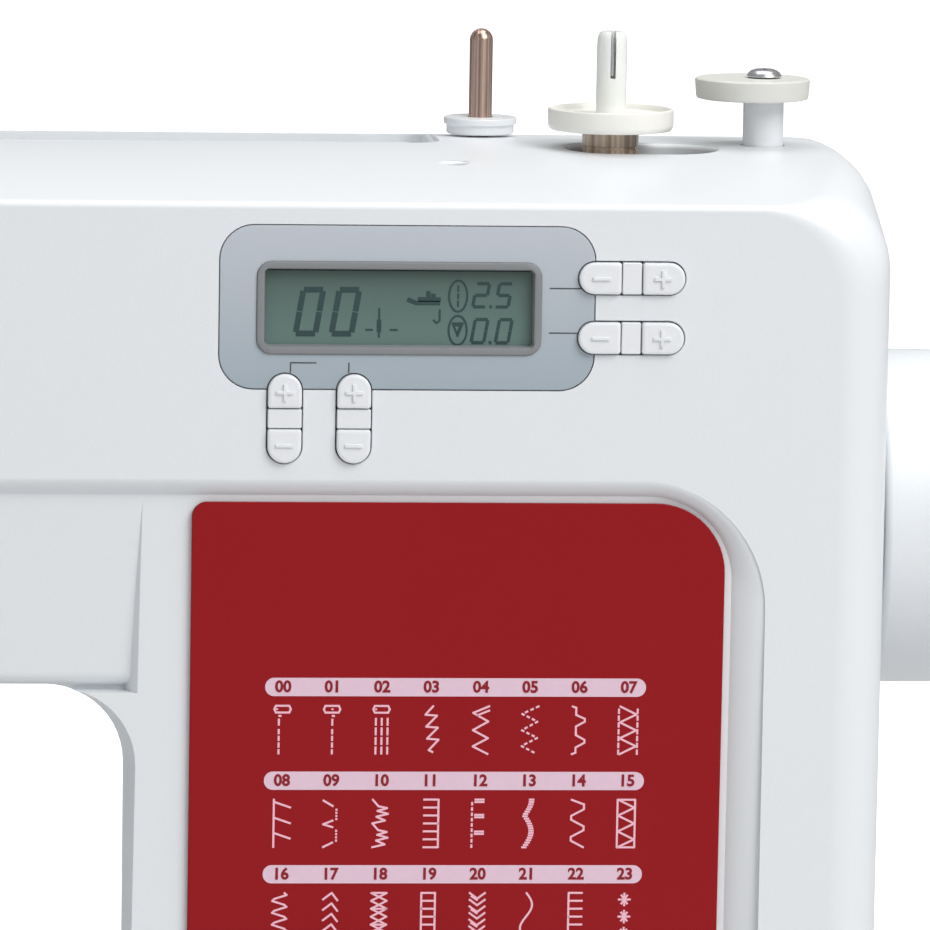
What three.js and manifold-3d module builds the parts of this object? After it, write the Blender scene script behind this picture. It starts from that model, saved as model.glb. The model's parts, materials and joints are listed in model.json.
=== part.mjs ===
// A domestic computerised sewing machine: C-shaped body with a display, a stitch chart panel, a bobbin
// winder and a spool pin on top, a free arm with its sliding accessory box, and the drive inside.
// Millimetres, +Z up. The front faces -Y and the hand wheel is at +X. The origin is the centre of the
// machine's outer box, on the surface it stands on.
import * as THREE from "three";
import { mergeVertices } from "three/addons/utils/BufferGeometryUtils.js";
import Module from "manifold-3d";

const wasm = await Module();
wasm.setup();

// ---------------------------------------------------------------- driving dimensions
const wall = 2.5; // casing wall
const seat = 0.3; // gap between two pieces that touch
const slip = 0.4; // running clearance round a moving piece

// Outer body
const bodyLeft = -192; // left edge of the front and rear covers
const bodyRight = 177; // right side of the column
const frontY = -49; // front face of arm, head and column
const rearY = 85;
const splitY = 62; // joint between front and rear cover
const deckZ = 78; // sewing surface
const armUnderZ = 184.2;
const headUnderZ = 138;
const throatLeft = -98; // right side of the head
const throatRight = 25; // left side of the column
const frontEdgeZ = 281.3; // top edge of the front face
const crownZ = 287.3; // highest line of the top
const crownY = (frontY + rearY) / 2;
const capWidth = 7.7; // the rounded face cover on the left end
const topCornerR = { face: 18, inside: 8, over: 40 }; // upper right corner, tightening behind the face
const bodyEdge = { side: 12, column: 10, head: 8, under: 4, arm: 2.8, top: 1.2 }; // front and rear roundings
const throatR = { head: 4, arm: 8, column: 16 }; // corners of the throat, seen from the front
const draftStart = 10; // depth behind the face where the draft begins
const throatDraft = Math.tan(THREE.MathUtils.degToRad(2.2)); // the throat's sides open to the rear

// Base, free arm and accessory box
const baseFrontY = -85;
const trayZ = 5.3;
const trayThick = 4;
const armFrontY = -34;
const armRearY = 40;
const armBottomZ = deckZ - 50;
const deckWall = 4;
const boxBottomZ = 8;
const boxRearY = 70;
const armCornerR = 12;
const boxFrontR = 16;
const boxRearR = 12;
const footHeight = 5;
const footRadius = 9;

// Needle, presser bar and hook
const needleX = -143;
const needleY = 10;
const barRadius = 3.2;
const presserY = needleY + 12;
const presserRadius = 3;
const needleTipZ = deckZ + 13;
const barFootZ = needleTipZ + 28.7;
const frameTopZ = 258; // pivot of the swinging needle bar frame
const hookRadius = 19;
const hookY = needleY - 1.5 - hookRadius;
const hookFloorZ = deckZ - 20;
const bobbinRadius = 10.25;
const hookGearR = 8.5;
const hookGearZ = { bottom: hookFloorZ - 21.5, top: hookFloorZ - 8 };
const hookRimZ = hookFloorZ + 14;
const caseFloorZ = hookFloorZ + 2.4;
const caseRimZ = hookFloorZ + 15;
const bobbinZ = { bottom: hookFloorZ + 4.4, top: hookFloorZ + 15.4, flange: 1, core: 4.2, bore: 3.1 };
const shaftGearR = 13; // on the lower shaft, beside the hook's gear

// Shafts
const shaftY = needleY;
const shaftZ = 211.3;
const shaftRadius = 6;
const lowerShaftY = hookY + hookGearR + shaftGearR + 1;
const lowerShaftZ = deckZ - 34;
const lowerShaftRadius = 4;
const wheelRadius = 34.5;
const wheelLeft = bodyRight + 2.5;
const wheelRight = wheelLeft + 20.5;
const shaftEnd = bodyRight + 15; // the wheel's hub closes over the end of the main shaft
const motorY = 0;
const motorZ = 118;
const motorRadius = 22;

// Display, stitch buttons and panel on the column
const display = { x0: 42.6, x1: 117, z0: 244.4, z1: 277.2, r: 7 };
const bezel = { x0: 50.1, x1: 106.3, z0: 251.5, z1: 269.9, r: 3 };
const lcd = { x0: 51.7, x1: 104.7, z0: 252.9, z1: 268.1, r: 0.8 };
const plateThick = 1.2;
const buttonProud = 1.2;
const bridge = 4.2; // fixed bar between the two buttons of a pair
const recess = { x0: throatLeft - 5, x1: 152, z0: deckZ + 4, z1: 226.7, r: 26, depth: 2.6 };
const recessSlope = { left: 3, right: 6.5, bottom: 2, top: 3.6, corner: 4 }; // width of each sloping side
const recessTilt = THREE.MathUtils.degToRad(1);
const leanTopZ = recess.z1 - recessSlope.top; // the arm's lower front leans back from here down
const leanDepth = 5.3;
const lipR = 3; // rounding below the leaning front
const panel = { x0: 37.9, x1: 144, z0: deckZ + 8.5, z1: 221.8, r: 3, bigR: 14, thick: 1 };

// Fittings on top
const winder = { x: 125.3, y: 9.3, slotR: 9.2, slotEnd: 138, hubR: 5.8, flangeR: 12.9 };
const spindle = { r: 3.1, coreR: 2, top: 311.2 };
const stop = { x: 155.3, postX: 157.7, y: 17, r: 11.9, postR: 4.2, screwR: 3.6, z0: 296.9, z1: 301.2 };
const spool = { x: 100.8, y: 37, r: 2.4, bottom: 276, top: 309.3, collarR: 7.6, collarTop: 290.9 };
const handle = { x0: -58, x1: 86, y0: 19.5, bottom: 273.5, gripDepth: 13.5, armWide: 8 };
const handlePin = { y: 50, z: 277, r: 3 };
const guideHole = { x: 91.6, y: -13, r: 2.5 };
const handleWell = { x0: -62, x1: 90, y0: 17, y1: 56, z0: 268 };

// ---------------------------------------------------------------- helpers
const TURN = Math.PI * 2;

// Height of the gently crowned top at depth y.
function crown(y) {
  const half = crownY - frontY;
  return crownZ - (crownZ - frontEdgeZ) * ((y - crownY) / half) ** 2;
}

// How far a rounded edge of radius r stands back at depth d behind the face.
function rounding(d, r) {
  if (d >= r) return 0;
  return r - Math.sqrt(r * r - (r - d) ** 2);
}

// A closed outline from corners [u, v, radius], each radius turned into an arc of `steps` chords.
function fillet(corners, steps = 5) {
  const points = [];
  corners.forEach(([u, v, r], i) => {
    const corner = new THREE.Vector2(u, v);
    if (!r) {
      points.push(corner);
      return;
    }
    const before = corners[(i + corners.length - 1) % corners.length];
    const after = corners[(i + 1) % corners.length];
    const back = new THREE.Vector2(before[0] - u, before[1] - v).normalize();
    const on = new THREE.Vector2(after[0] - u, after[1] - v).normalize();
    const half = Math.acos(THREE.MathUtils.clamp(back.dot(on), -1, 1)) / 2;
    const reach = r / Math.tan(half);
    const centre = corner.clone().addScaledVector(back.clone().add(on).normalize(), r / Math.sin(half));
    const start = corner.clone().addScaledVector(back, reach).sub(centre);
    const sweep = (Math.PI - 2 * half) * Math.sign(back.cross(on)) * -1;
    for (let k = 0; k <= steps; k++)
      points.push(start.clone().rotateAround(new THREE.Vector2(), (sweep * k) / steps).add(centre));
  });
  return points;
}

// A closed surface through rings of equal point counts; `flat` maps a point to the plane of the caps.
function loft(rings, flat) {
  const n = rings[0].length;
  const index = [];
  const capOf = (ring) => {
    const points = ring.map(flat);
    return THREE.ShapeUtils.triangulateShape(points, []).map(([a, b, c]) => {
      const ccw = points[b].clone().sub(points[a]).cross(points[c].clone().sub(points[a])) > 0;
      return ccw ? [a, b, c] : [a, c, b];
    });
  };
  const last = (rings.length - 1) * n;
  capOf(rings[0]).forEach(([a, b, c]) => index.push(a, b, c));
  capOf(rings.at(-1)).forEach(([a, b, c]) => index.push(last + a, last + c, last + b));
  for (let k = 0; k < last; k += n)
    for (let i = 0; i < n; i++) {
      const a = k + i;
      const b = k + ((i + 1) % n);
      index.push(a, a + n, b, b, a + n, b + n);
    }
  const geometry = new THREE.BufferGeometry();
  geometry.setAttribute("position", new THREE.Float32BufferAttribute(rings.flat(2), 3));
  geometry.setIndex(index);
  return geometry;
}

const seenFromFront = ([x, , z]) => new THREE.Vector2(x, z);
const seenFromTop = ([x, y]) => new THREE.Vector2(x, y);
const seenFromSide = ([, y, z]) => new THREE.Vector2(y, z);

// A geometry as a manifold solid with its faces pointing out.
function solid(geometry) {
  const bare = new THREE.BufferGeometry();
  bare.setAttribute("position", geometry.getAttribute("position").clone());
  if (geometry.index) bare.setIndex(geometry.index.clone());
  const merged = mergeVertices(bare, 1e-4);
  const old = merged.index.array;
  const tris = [];
  for (let i = 0; i < old.length; i += 3) {
    const [a, b, c] = [old[i], old[i + 1], old[i + 2]];
    if (a !== b && b !== c && a !== c) tris.push(a, b, c);
  }
  const make = (list) =>
    new wasm.Manifold(
      new wasm.Mesh({
        numProp: 3,
        vertProperties: new Float32Array(merged.attributes.position.array),
        triVerts: new Uint32Array(list),
      }),
    );
  const made = make(tris);
  if (made.volume() >= 0) return made;
  for (let i = 0; i < tris.length; i += 3) [tris[i], tris[i + 1]] = [tris[i + 1], tris[i]];
  return make(tris);
}

function geometryOf(body) {
  const mesh = body.getMesh();
  const geometry = new THREE.BufferGeometry();
  geometry.setAttribute("position", new THREE.BufferAttribute(new Float32Array(mesh.vertProperties), 3));
  geometry.setIndex(new THREE.BufferAttribute(new Uint32Array(mesh.triVerts), 1));
  geometry.computeVertexNormals();
  return geometry;
}

const join = (...parts) => parts.reduce((a, b) => a.add(b));
const cut = (body, ...tools) => tools.reduce((a, b) => a.subtract(b), body);

function box(x0, x1, y0, y1, z0, z1) {
  const geometry = new THREE.BoxGeometry(x1 - x0, y1 - y0, z1 - z0);
  return solid(geometry.translate((x0 + x1) / 2, (y0 + y1) / 2, (z0 + z1) / 2));
}

// A round bar along "x", "y" or "z" from a to b; u and v place its axis on the other two, in order.
function rod(axis, r, a, b, u, v, sides = 24, rEnd = r) {
  const geometry = new THREE.CylinderGeometry(rEnd, r, b - a, sides);
  const mid = (a + b) / 2;
  if (axis === "x") geometry.rotateZ(-Math.PI / 2).translate(mid, u, v);
  if (axis === "y") geometry.translate(u, mid, v);
  if (axis === "z") geometry.rotateX(Math.PI / 2).translate(u, v, mid);
  return solid(geometry);
}

// An outline seen from the front (x, z), the top (x, y) or the side (y, z), between two planes.
function prism(facing, outline, a, b) {
  const shape = outline instanceof THREE.Shape ? outline : new THREE.Shape(outline);
  const geometry = new THREE.ExtrudeGeometry(shape, { depth: b - a, bevelEnabled: false, curveSegments: 6 });
  if (facing === "front") geometry.rotateX(Math.PI / 2).translate(0, b, 0);
  if (facing === "top") geometry.translate(0, 0, a);
  if (facing === "side") {
    const turn = new THREE.Matrix4().makeBasis(
      new THREE.Vector3(0, 1, 0),
      new THREE.Vector3(0, 0, 1),
      new THREE.Vector3(1, 0, 0),
    );
    geometry.applyMatrix4(turn).translate(a, 0, 0);
  }
  return solid(geometry);
}

const rectangle = (u0, v0, u1, v1, r) =>
  fillet([
    [u0, v0, r],
    [u1, v0, r],
    [u1, v1, r],
    [u0, v1, r],
  ]);

// A solid of revolution about "x" or "z" from a profile of [radius, place].
function turned(axis, profile, u, v, sides = 32) {
  const points = profile.map(([r, p]) => new THREE.Vector2(r, p));
  const geometry = new THREE.LatheGeometry(points, sides);
  if (axis === "x") geometry.rotateZ(-Math.PI / 2).translate(0, u, v);
  if (axis === "z") geometry.rotateX(Math.PI / 2).translate(u, v, 0);
  return solid(geometry);
}

// A loop of belt of the given thickness round two pulleys, in the plane across X.
function belt(x0, x1, y0, z0, r0, y1, z1, r1, thick) {
  const along = new THREE.Vector2(y1 - y0, z1 - z0);
  const lean = Math.acos((r0 - r1) / along.length());
  const heading = along.angle();
  const loop = (grow) => {
    const points = [];
    for (let k = 0; k <= 12; k++) {
      const t = heading + lean + ((TURN - 2 * lean) * k) / 12;
      points.push(new THREE.Vector2(y0 + (r0 + grow) * Math.cos(t), z0 + (r0 + grow) * Math.sin(t)));
    }
    for (let k = 0; k <= 16; k++) {
      const t = heading - lean + (2 * lean * k) / 16;
      points.push(new THREE.Vector2(y1 + (r1 + grow) * Math.cos(t), z1 + (r1 + grow) * Math.sin(t)));
    }
    return points;
  };
  return cut(prism("side", loop(thick + seat), x0, x1), prism("side", loop(seat), x0 - 1, x1 + 1));
}

// ---------------------------------------------------------------- materials
const paint = (color, roughness, metalness = 0) => new THREE.MeshStandardMaterial({ color, roughness, metalness });
const white = paint(0xe4e6ea, 0.35);
const warmWhite = paint(0xf1f2f3, 0.3);
const grey = paint(0x9aa5ae, 0.4);
const lightGrey = paint(0xc9c9c4, 0.4);
const darkGrey = paint(0x55585c, 0.5);
const red = paint(0x8f1b22, 0.45);
const lcdGreen = paint(0x5f7a70, 0.3);
const steel = paint(0xc8cacc, 0.25, 1);
const copper = paint(0xa98672, 0.3, 1);
const amber = paint(0xb59c7c, 0.3);
const milky = paint(0xe9eae6, 0.3);
const casting = paint(0xa8abae, 0.55, 0.8);
const rubber = paint(0x1c1c1e, 0.85);
const board = paint(0x1f6b3a, 0.6);
const clear = paint(0xc8d4dc, 0.1);

const machine = new THREE.Group();
function add(name, body, material, parent = machine) {
  const mesh = new THREE.Mesh(geometryOf(body), material);
  mesh.name = name;
  parent.add(mesh);
  return mesh;
}

// ---------------------------------------------------------------- body outline
// The C-shape seen from the front at depth y, drawn in by `inset` all round.
function bodyRing(y, inset = 0) {
  const d = Math.min(y - frontY, rearY - y);
  const side = rounding(d, bodyEdge.side) * 0.92;
  const cornerR = topCornerR.face + (topCornerR.inside - topCornerR.face) * Math.min(1, d / topCornerR.over);
  const draft = throatDraft * Math.max(0, y - frontY - draftStart);
  const column = rounding(d, bodyEdge.column) + draft;
  const head = rounding(d, bodyEdge.head) + draft;
  const top = crown(y) - rounding(d, bodyEdge.top) - inset;
  const right = bodyRight - side - inset;
  const left = bodyLeft - (inset ? 5 : 0); // the inside runs out through the open left end
  const under = headUnderZ + rounding(d, bodyEdge.under) + inset;
  const arm = armUnderZ + rounding(d, bodyEdge.arm) + inset;
  const bottom = deckZ + seat - (inset ? 5 : 0); // and through the open bottom of the column
  return fillet([
    [left, under, 0],
    [throatLeft - head - inset, under, throatR.head],
    [throatLeft - head - inset, arm, throatR.arm],
    [throatRight + column + inset, arm, throatR.column + inset],
    [throatRight + column + inset, bottom, 0],
    [right, bottom, 0],
    [right, top, cornerR - inset],
    [left, top, 0],
  ]).map((p) => [p.x, y, p.y]);
}

const edgeSteps = [0, 0.25, 0.7, 1.2, 2.8, 5, 8, 12];
const frontPlanes = [...edgeSteps.map((d) => frontY + d), -18, 0, crownY, 36, 50, splitY];
const rearPlanes = [splitY + seat, ...edgeSteps.map((d) => rearY - d).reverse()];
const bodyLoft = (planes, inset) =>
  solid(
    loft(
      planes.map((y) => bodyRing(y, inset)),
      seenFromFront,
    ),
  );

// ---------------------------------------------------------------- buttons of the column
// One capsule: two D-shaped buttons with a fixed bridge between them, along x or z.
const pairs = [
  { name: "stitch_length", x: 124.1, z: 266.95, length: 21, width: 6.3, along: "x" },
  { name: "stitch_width", x: 124.1, z: 255.1, length: 21, width: 6.3, along: "x" },
  { name: "pattern_tens", x: 55.85, z: 238.75, length: 17.7, width: 6.7, along: "z" },
  { name: "pattern_units", x: 69.5, z: 238.75, length: 17.7, width: 6.7, along: "z" },
];

// The D-shape of one button; side is +1 for the plus end and -1 for the minus end.
function buttonOutline(pair, side, grow) {
  const half = pair.width / 2 + grow;
  const inner = bridge / 2 - grow;
  const outer = pair.length / 2 + grow;
  const outline = fillet([
    [inner, -half, 0],
    [outer, -half, half - 0.05],
    [outer, half, half - 0.05],
    [inner, half, 0],
  ]);
  return outline.map((p) => {
    const u = p.x * side;
    return pair.along === "x"
      ? new THREE.Vector2(pair.x + u, pair.z + p.y)
      : new THREE.Vector2(pair.x - p.y, pair.z + u);
  });
}

const buttonBody = (pair, side, grow, y0, y1) => prism("front", buttonOutline(pair, side, grow), y0, y1);

// ---------------------------------------------------------------- front cover
// The shallow field round the stitch panel, which runs left along the lower half of the arm.
function recessTool() {
  const { x0, x1, z0, z1, r, depth } = recess;
  const side = recessSlope;
  const ring = (y, drop, slope) =>
    fillet([
      [x0 + side.left * slope, z0 + side.bottom * slope, side.corner],
      [x1 - side.right * slope, z0 + side.bottom * slope, side.corner],
      [x1 - side.right * slope, z1 - side.top * slope, r - 9 * slope],
      [x0 + side.left * slope, z1 - side.top * slope, side.corner],
    ]).map((p) => [p.x, y + drop, p.y]);
  const geometry = loft(
    [ring(frontY, -4, 0), ring(frontY, 0, 0), ring(frontY, depth * 0.3, 0.25), ring(frontY, depth, 1)],
    seenFromFront,
  );
  geometry.translate(0, -frontY, -z1).rotateX(recessTilt).translate(0, frontY, z1);
  return solid(geometry);
}

// The lower front of the arm leans back between the head and the column.
function armLean() {
  const lean = prism(
    "side",
    [
      new THREE.Vector2(frontY - 4, leanTopZ),
      new THREE.Vector2(frontY + recess.depth, leanTopZ),
      new THREE.Vector2(frontY + leanDepth, armUnderZ + lipR),
      new THREE.Vector2(frontY + leanDepth + 0.3 * lipR, armUnderZ + 0.3 * lipR),
      new THREE.Vector2(frontY + leanDepth + lipR, armUnderZ),
      new THREE.Vector2(frontY + leanDepth + lipR, armUnderZ - 1),
      new THREE.Vector2(frontY - 4, armUnderZ - 1),
    ],
    throatLeft - 9,
    throatRight + 11,
  );
  const post = (x, side, r) =>
    prism(
      "top",
      fillet([
        [x, rearY, 0],
        [x, frontY, r],
        [x + side * 60, frontY, 0],
        [x + side * 60, rearY, 0],
      ]),
      headUnderZ,
      crownZ,
    );
  return cut(lean, post(throatRight, 1, bodyEdge.column), post(throatLeft, -1, bodyEdge.head));
}

const dial = { x: -116, y: frontY + 11, z: 255, r: 15, half: 5.5, bore: 2.6 };
const slider = { x: -146, x0: -166, x1: -126, z: 176, half: 2.2 };
const headButtons = [
  { name: "reverse_button", x: -158, z: 157, r: 6.5 },
  { name: "needle_position_button", x: -134, z: 157, r: 6.5 },
];
const takeUp = { x: -160, y: 15, z: 235, reach: 80, half: 1.2, pinR: 2.6, swing: THREE.MathUtils.degToRad(28) };
const threadSlot = { x: -134, z0: 192, z1: 277.5, half: 1.9 };
const lifter = { x: -120, y0: 38, y1: 44, z: 165, reach: 38 };

function frontCover() {
  const outer = bodyLoft(frontPlanes, 0);
  const hollow = bodyLoft([frontY + wall, frontY + 6, frontY + 12, 0, crownY, 40, splitY + 1], wall);
  const thicker = box(recess.x0 - 6, recess.x1 + 4, frontY - 1, frontY + 8.5, deckZ - 9, recess.z1 + 3);
  const well = handleWell;
  const wellShell = box(well.x0 - 2, well.x1 + 2, well.y0 - 2, well.y1 + 2, well.z0 - 2, crownZ + 4);
  const inside = cut(hollow, thicker, wellShell);
  let cover = cut(outer, inside, box(well.x0, well.x1, well.y0, well.y1, well.z0, crownZ + 4));
  cover = cut(cover, recessTool(), armLean());
  // the raised bridges stand over the openings of the button pairs
  for (const pair of pairs) {
    const half = bridge / 2 - 0.3;
    const across = pair.width / 2;
    const [dx, dz] = pair.along === "x" ? [half, across] : [across, half];
    cover = cover.add(box(pair.x - dx, pair.x + dx, frontY - 0.7, frontY + 2, pair.z - dz, pair.z + dz));
  }
  const { x0, x1, z0, z1, r } = display;
  const plateBed = prism("front", rectangle(x0, z0, x1, z1, r), frontY - 2, frontY + plateThick + seat);
  const bridges = pairs.map((pair) => buttonBridge(pair, 0.4));
  cover = cut(cover, cut(plateBed, ...bridges));
  const screenHole = rectangle(bezel.x0 - 1, bezel.z0 - 1, bezel.x1 + 1, bezel.z1 + 1, bezel.r);
  cover = cut(cover, prism("front", screenHole, frontY - 2, frontY + 9));
  for (const pair of pairs)
    for (const side of [1, -1]) cover = cut(cover, buttonBody(pair, side, 0.25, frontY - 3, frontY + 9));
  // head: thread slots, tension dial, speed slider, two buttons
  for (const x of [takeUp.x, threadSlot.x]) {
    const slit = rectangle(x - threadSlot.half, threadSlot.z0, x + threadSlot.half, threadSlot.z1, 1.8);
    cover = cut(cover, prism("front", slit, frontY - 2, frontY + 9));
  }
  cover = cut(
    cover,
    box(dial.x - dial.half - 0.6, dial.x + dial.half + 0.6, frontY - 2, frontY + 9, dial.z - 13.1, dial.z + 13.1),
    box(slider.x0, slider.x1, frontY - 2, frontY + 9, slider.z - slider.half, slider.z + slider.half),
  );
  for (const b of headButtons) cover = cut(cover, rod("y", b.r + 0.3, frontY - 2, frontY + 9, b.x, b.z, 28));
  // underside of the head: needle bar, presser bar and lifter lever
  cover = cut(
    cover,
    box(needleX - 14, needleX + 14, needleY - 12, presserY + 9, headUnderZ - 2, headUnderZ + wall + 2),
    box(lifter.x - 9, throatLeft + 3, lifter.y0 - 3, lifter.y1 + 9, headUnderZ - 2, lifter.z + 8),
  );
  // top: winder slot, small thread guide hole, spool pin bore, seat of the winder stop, handle pins
  const slot = fillet([
    [winder.x - winder.slotR, winder.y - winder.slotR, winder.slotR - 0.05],
    [winder.slotEnd + winder.slotR, winder.y - winder.slotR, winder.slotR - 0.05],
    [winder.slotEnd + winder.slotR, winder.y + winder.slotR, winder.slotR - 0.05],
    [winder.x - winder.slotR, winder.y + winder.slotR, winder.slotR - 0.05],
  ]);
  cover = cut(
    cover,
    prism("top", slot, crownZ - 8, crownZ + 2),
    rod("z", guideHole.r, crownZ - 8, crownZ + 2, guideHole.x, guideHole.y, 20),
    rod("z", spool.r + seat, crownZ - 8, crownZ + 2, spool.x, spool.y, 16),
    rod("z", stop.postR + seat, crown(stop.y) - 1.3, crownZ + 2, stop.postX, stop.y, 20),
    rod("x", handlePin.r + slip, well.x0 - 3, well.x1 + 3, handlePin.y, handlePin.z, 20),
  );
  // right side: bore of the hand wheel shaft
  return cut(cover, rod("x", shaftRadius + 3, bodyRight - 8, bodyRight + 3, shaftY, shaftZ));
}

// The fixed bar of a button pair, as a block through the display plate's bed.
function buttonBridge(pair, grow) {
  const [dx, dz] =
    pair.along === "x" ? [bridge / 2 + grow, pair.width / 2 + grow] : [pair.width / 2 + grow, bridge / 2 + grow];
  return box(pair.x - dx, pair.x + dx, frontY - 3, frontY + 9, pair.z - dz, pair.z + dz);
}

add("front_cover", frontCover(), white);

// ---------------------------------------------------------------- rear cover and face cover
const vents = { x0: 70, x1: 130, z0: 120, step: 9, half: 1.5, count: 7 };

function rearCover() {
  const outer = bodyLoft(rearPlanes, 0);
  const hollow = bodyLoft([splitY - 1, rearY - 12, rearY - 6, rearY - wall], wall);
  let cover = cut(outer, hollow);
  for (let k = 0; k < vents.count; k++) {
    const z = vents.z0 + k * vents.step;
    cover = cut(cover, box(vents.x0, vents.x1, rearY - 6, rearY + 2, z - vents.half, z + vents.half));
  }
  return cover;
}

// The rounded panel that closes the left end of the head.
function faceCover() {
  const ring = (x, inset) => {
    const y0 = frontY + inset;
    const y1 = rearY - inset;
    const roof = [y1, 58, crownY, -22, y0].map((y) => [y, crown(y) - Math.min(inset, 7), 0]);
    return fillet([[y0, headUnderZ + inset, 5], [y1, headUnderZ + inset, 5], ...roof]).map((p) => [x, p.x, p.y]);
  };
  const start = bodyLeft - seat;
  const steps = [0, 2, 4, 6, 7.2, capWidth];
  const outer = solid(
    loft(
      steps.map((e) => ring(start - e, rounding(capWidth - e, capWidth) * 0.95 + 0.001)),
      seenFromSide,
    ),
  );
  const inner = solid(loft([ring(start + 1, wall), ring(start - capWidth + wall, wall + 3)], seenFromSide));
  return cut(outer, inner);
}

add("rear_cover", rearCover(), white);
add("face_cover", faceCover(), white);

// ---------------------------------------------------------------- base, tray, feet, free arm
// A block with rounded upright edges and a softened top edge.
function softBlock(x0, x1, y0, y1, z0, z1, corners, edge) {
  const ring = (z, inset) =>
    fillet([
      [x0 + inset, y0 + inset, corners[0]],
      [x1 - inset, y0 + inset, corners[1]],
      [x1 - inset, y1 - inset, corners[2]],
      [x0 + inset, y1 - inset, corners[3]],
    ]).map((p) => [p.x, p.y, z]);
  const rings = [ring(z0, 0), ...[1, 0.55, 0.2, 0].map((s) => ring(z1 - s * edge, rounding(s * edge, edge)))];
  return solid(loft(rings, seenFromTop));
}

// A straight room with a radius at each corner: front left, front right, rear right, rear left.
function room(x0, x1, y0, y1, z0, z1, corners) {
  const places = [
    [x0, y0],
    [x1, y0],
    [x1, y1],
    [x0, y1],
  ];
  return prism("top", fillet(places.map(([x, y], i) => [x, y, corners[i]])), z0, z1);
}

function baseCover() {
  const bottom = trayZ + trayThick + seat;
  const outer = softBlock(throatRight, bodyRight, baseFrontY, rearY, bottom, deckZ, [2, 16, 12, 2], 4);
  const hollow = softBlock(
    throatRight + wall,
    bodyRight - wall,
    baseFrontY + wall,
    rearY - wall,
    bottom - 1,
    deckZ - wall,
    [2, 14, 10, 2],
    2,
  );
  return cut(
    outer,
    hollow,
    box(throatRight + 9, bodyRight - 9, frontY + 14, rearY - 9, deckZ - 5, deckZ + 1),
    box(throatRight - 1, throatRight + 4, armFrontY + wall, armRearY - wall, armBottomZ + wall, deckZ - deckWall),
    box(bodyRight - 5, bodyRight + 1, inlet.y0 - seat, inlet.y1 + seat, inlet.z0 - seat, inlet.z1 + seat),
    box(bodyRight - 5, bodyRight + 1, rocker.y0 - slip, rocker.y1 + slip, rocker.z0 - slip, rocker.z1 + slip),
  );
}

const inlet = { x0: bodyRight - 17, y0: 44, y1: 68, z0: 24, z1: 44 };
const rocker = { y0: 14, y1: 32, z0: 24, z1: 40 };
add("base_cover", baseCover(), white);

const trayLeft = -150;
const trayRearY = rearY - 2.8;
add(
  "base_tray",
  join(
    prism("top", rectangle(trayLeft, -64, 60, 64, 12), trayZ, trayZ + trayThick),
    prism("top", rectangle(throatRight + 1, baseFrontY + 3, bodyRight - 2, trayRearY, 12), trayZ, trayZ + trayThick),
  ),
  darkGrey,
);

const footPlaces = [
  ["front_left", trayLeft + 14, -50],
  ["rear_left", trayLeft + 14, 50],
  ["front_right", bodyRight - 22, -66],
  ["rear_right", bodyRight - 22, 66],
];
for (const [place, x, y] of footPlaces)
  add(`foot_${place}`, rod("z", footRadius - 1, 0, footHeight, x, y, 20, footRadius), rubber);

function freeArm() {
  const corners = [armCornerR, 1, 1, armCornerR];
  const outer = softBlock(bodyLeft, throatRight - seat, armFrontY, armRearY, armBottomZ, deckZ, corners, 1.5);
  const hollow = room(
    bodyLeft + wall,
    throatRight + 1,
    armFrontY + wall,
    armRearY - wall,
    armBottomZ + wall,
    deckZ - deckWall,
    [armCornerR - wall, 0, 0, armCornerR - wall],
  );
  return cut(
    outer,
    hollow,
    box(plateX0 - seat, plateX1 + seat, armFrontY - 1, armRearY - wall - 0.5, deckZ - 1.8, deckZ + 1),
    box(plateX0 + 3, plateX1 - 3, armFrontY + wall, armRearY - wall - 1.5, deckZ - 6, deckZ + 1),
  );
}

const plateX0 = needleX - 23;
const plateX1 = needleX + 23;
const plateFrontY = needleY - 8.9; // edge between the needle plate and the bobbin cover
add("free_arm_cover", freeArm(), white);

// ---------------------------------------------------------------- accessory box
function accessoryBox() {
  const left = bodyLeft - 8;
  const right = throatRight - 2 * seat;
  const corners = [boxFrontR, 1, 1, boxRearR];
  const outer = softBlock(left, right, baseFrontY, boxRearY, boxBottomZ, deckZ, corners, 1.5);
  const floor = trayZ + trayThick + 3;
  const roof = deckZ - wall;
  return cut(
    outer,
    room(left + wall, right + 1, baseFrontY + wall, armFrontY - 2, floor + wall, roof, [boxFrontR - wall, 0, 0, 0]),
    box(left + wall, right + 1, armFrontY - 3, armRearY + 3, floor + wall, roof),
    room(left + wall, right + 1, armRearY + 2, boxRearY - wall, floor + wall, roof, [0, 0, 0, boxRearR - wall]),
    box(bodyLeft - 1.5, right + 1, armFrontY - 1.5, armRearY + 1.5, roof - 1, deckZ + 1),
    box(trayLeft - 2, right + 1, -66, 66, boxBottomZ - 1, floor),
  );
}
add("accessory_box", accessoryBox(), white);

// ---------------------------------------------------------------- needle plate, bobbin cover, feed dog
const feedRows = [needleX - 6.5, needleX + 6.5];
const feedY = { slot0: needleY + 2, y0: needleY + 5, y1: needleY + 22, slot1: needleY + 25 };
const plateBottomZ = deckZ - 1.5;
const needleHole = rectangle(needleX - 4.6, needleY - 1.1, needleX + 4.6, needleY + 1.1, 1);
let needlePlate = box(plateX0, plateX1, plateFrontY + seat, armRearY - wall - 0.8, plateBottomZ, deckZ);
needlePlate = cut(
  needlePlate,
  prism("top", needleHole, plateBottomZ - 1, deckZ + 1),
  ...feedRows.map((x) => box(x - 1.9, x + 1.9, feedY.slot0, feedY.slot1, plateBottomZ - 1, deckZ + 1)),
);
add("needle_plate", needlePlate, steel);
add(
  "bobbin_cover",
  prism("top", rectangle(plateX0, armFrontY + 0.5, plateX1, plateFrontY, 2), plateBottomZ, deckZ),
  clear,
);

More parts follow.
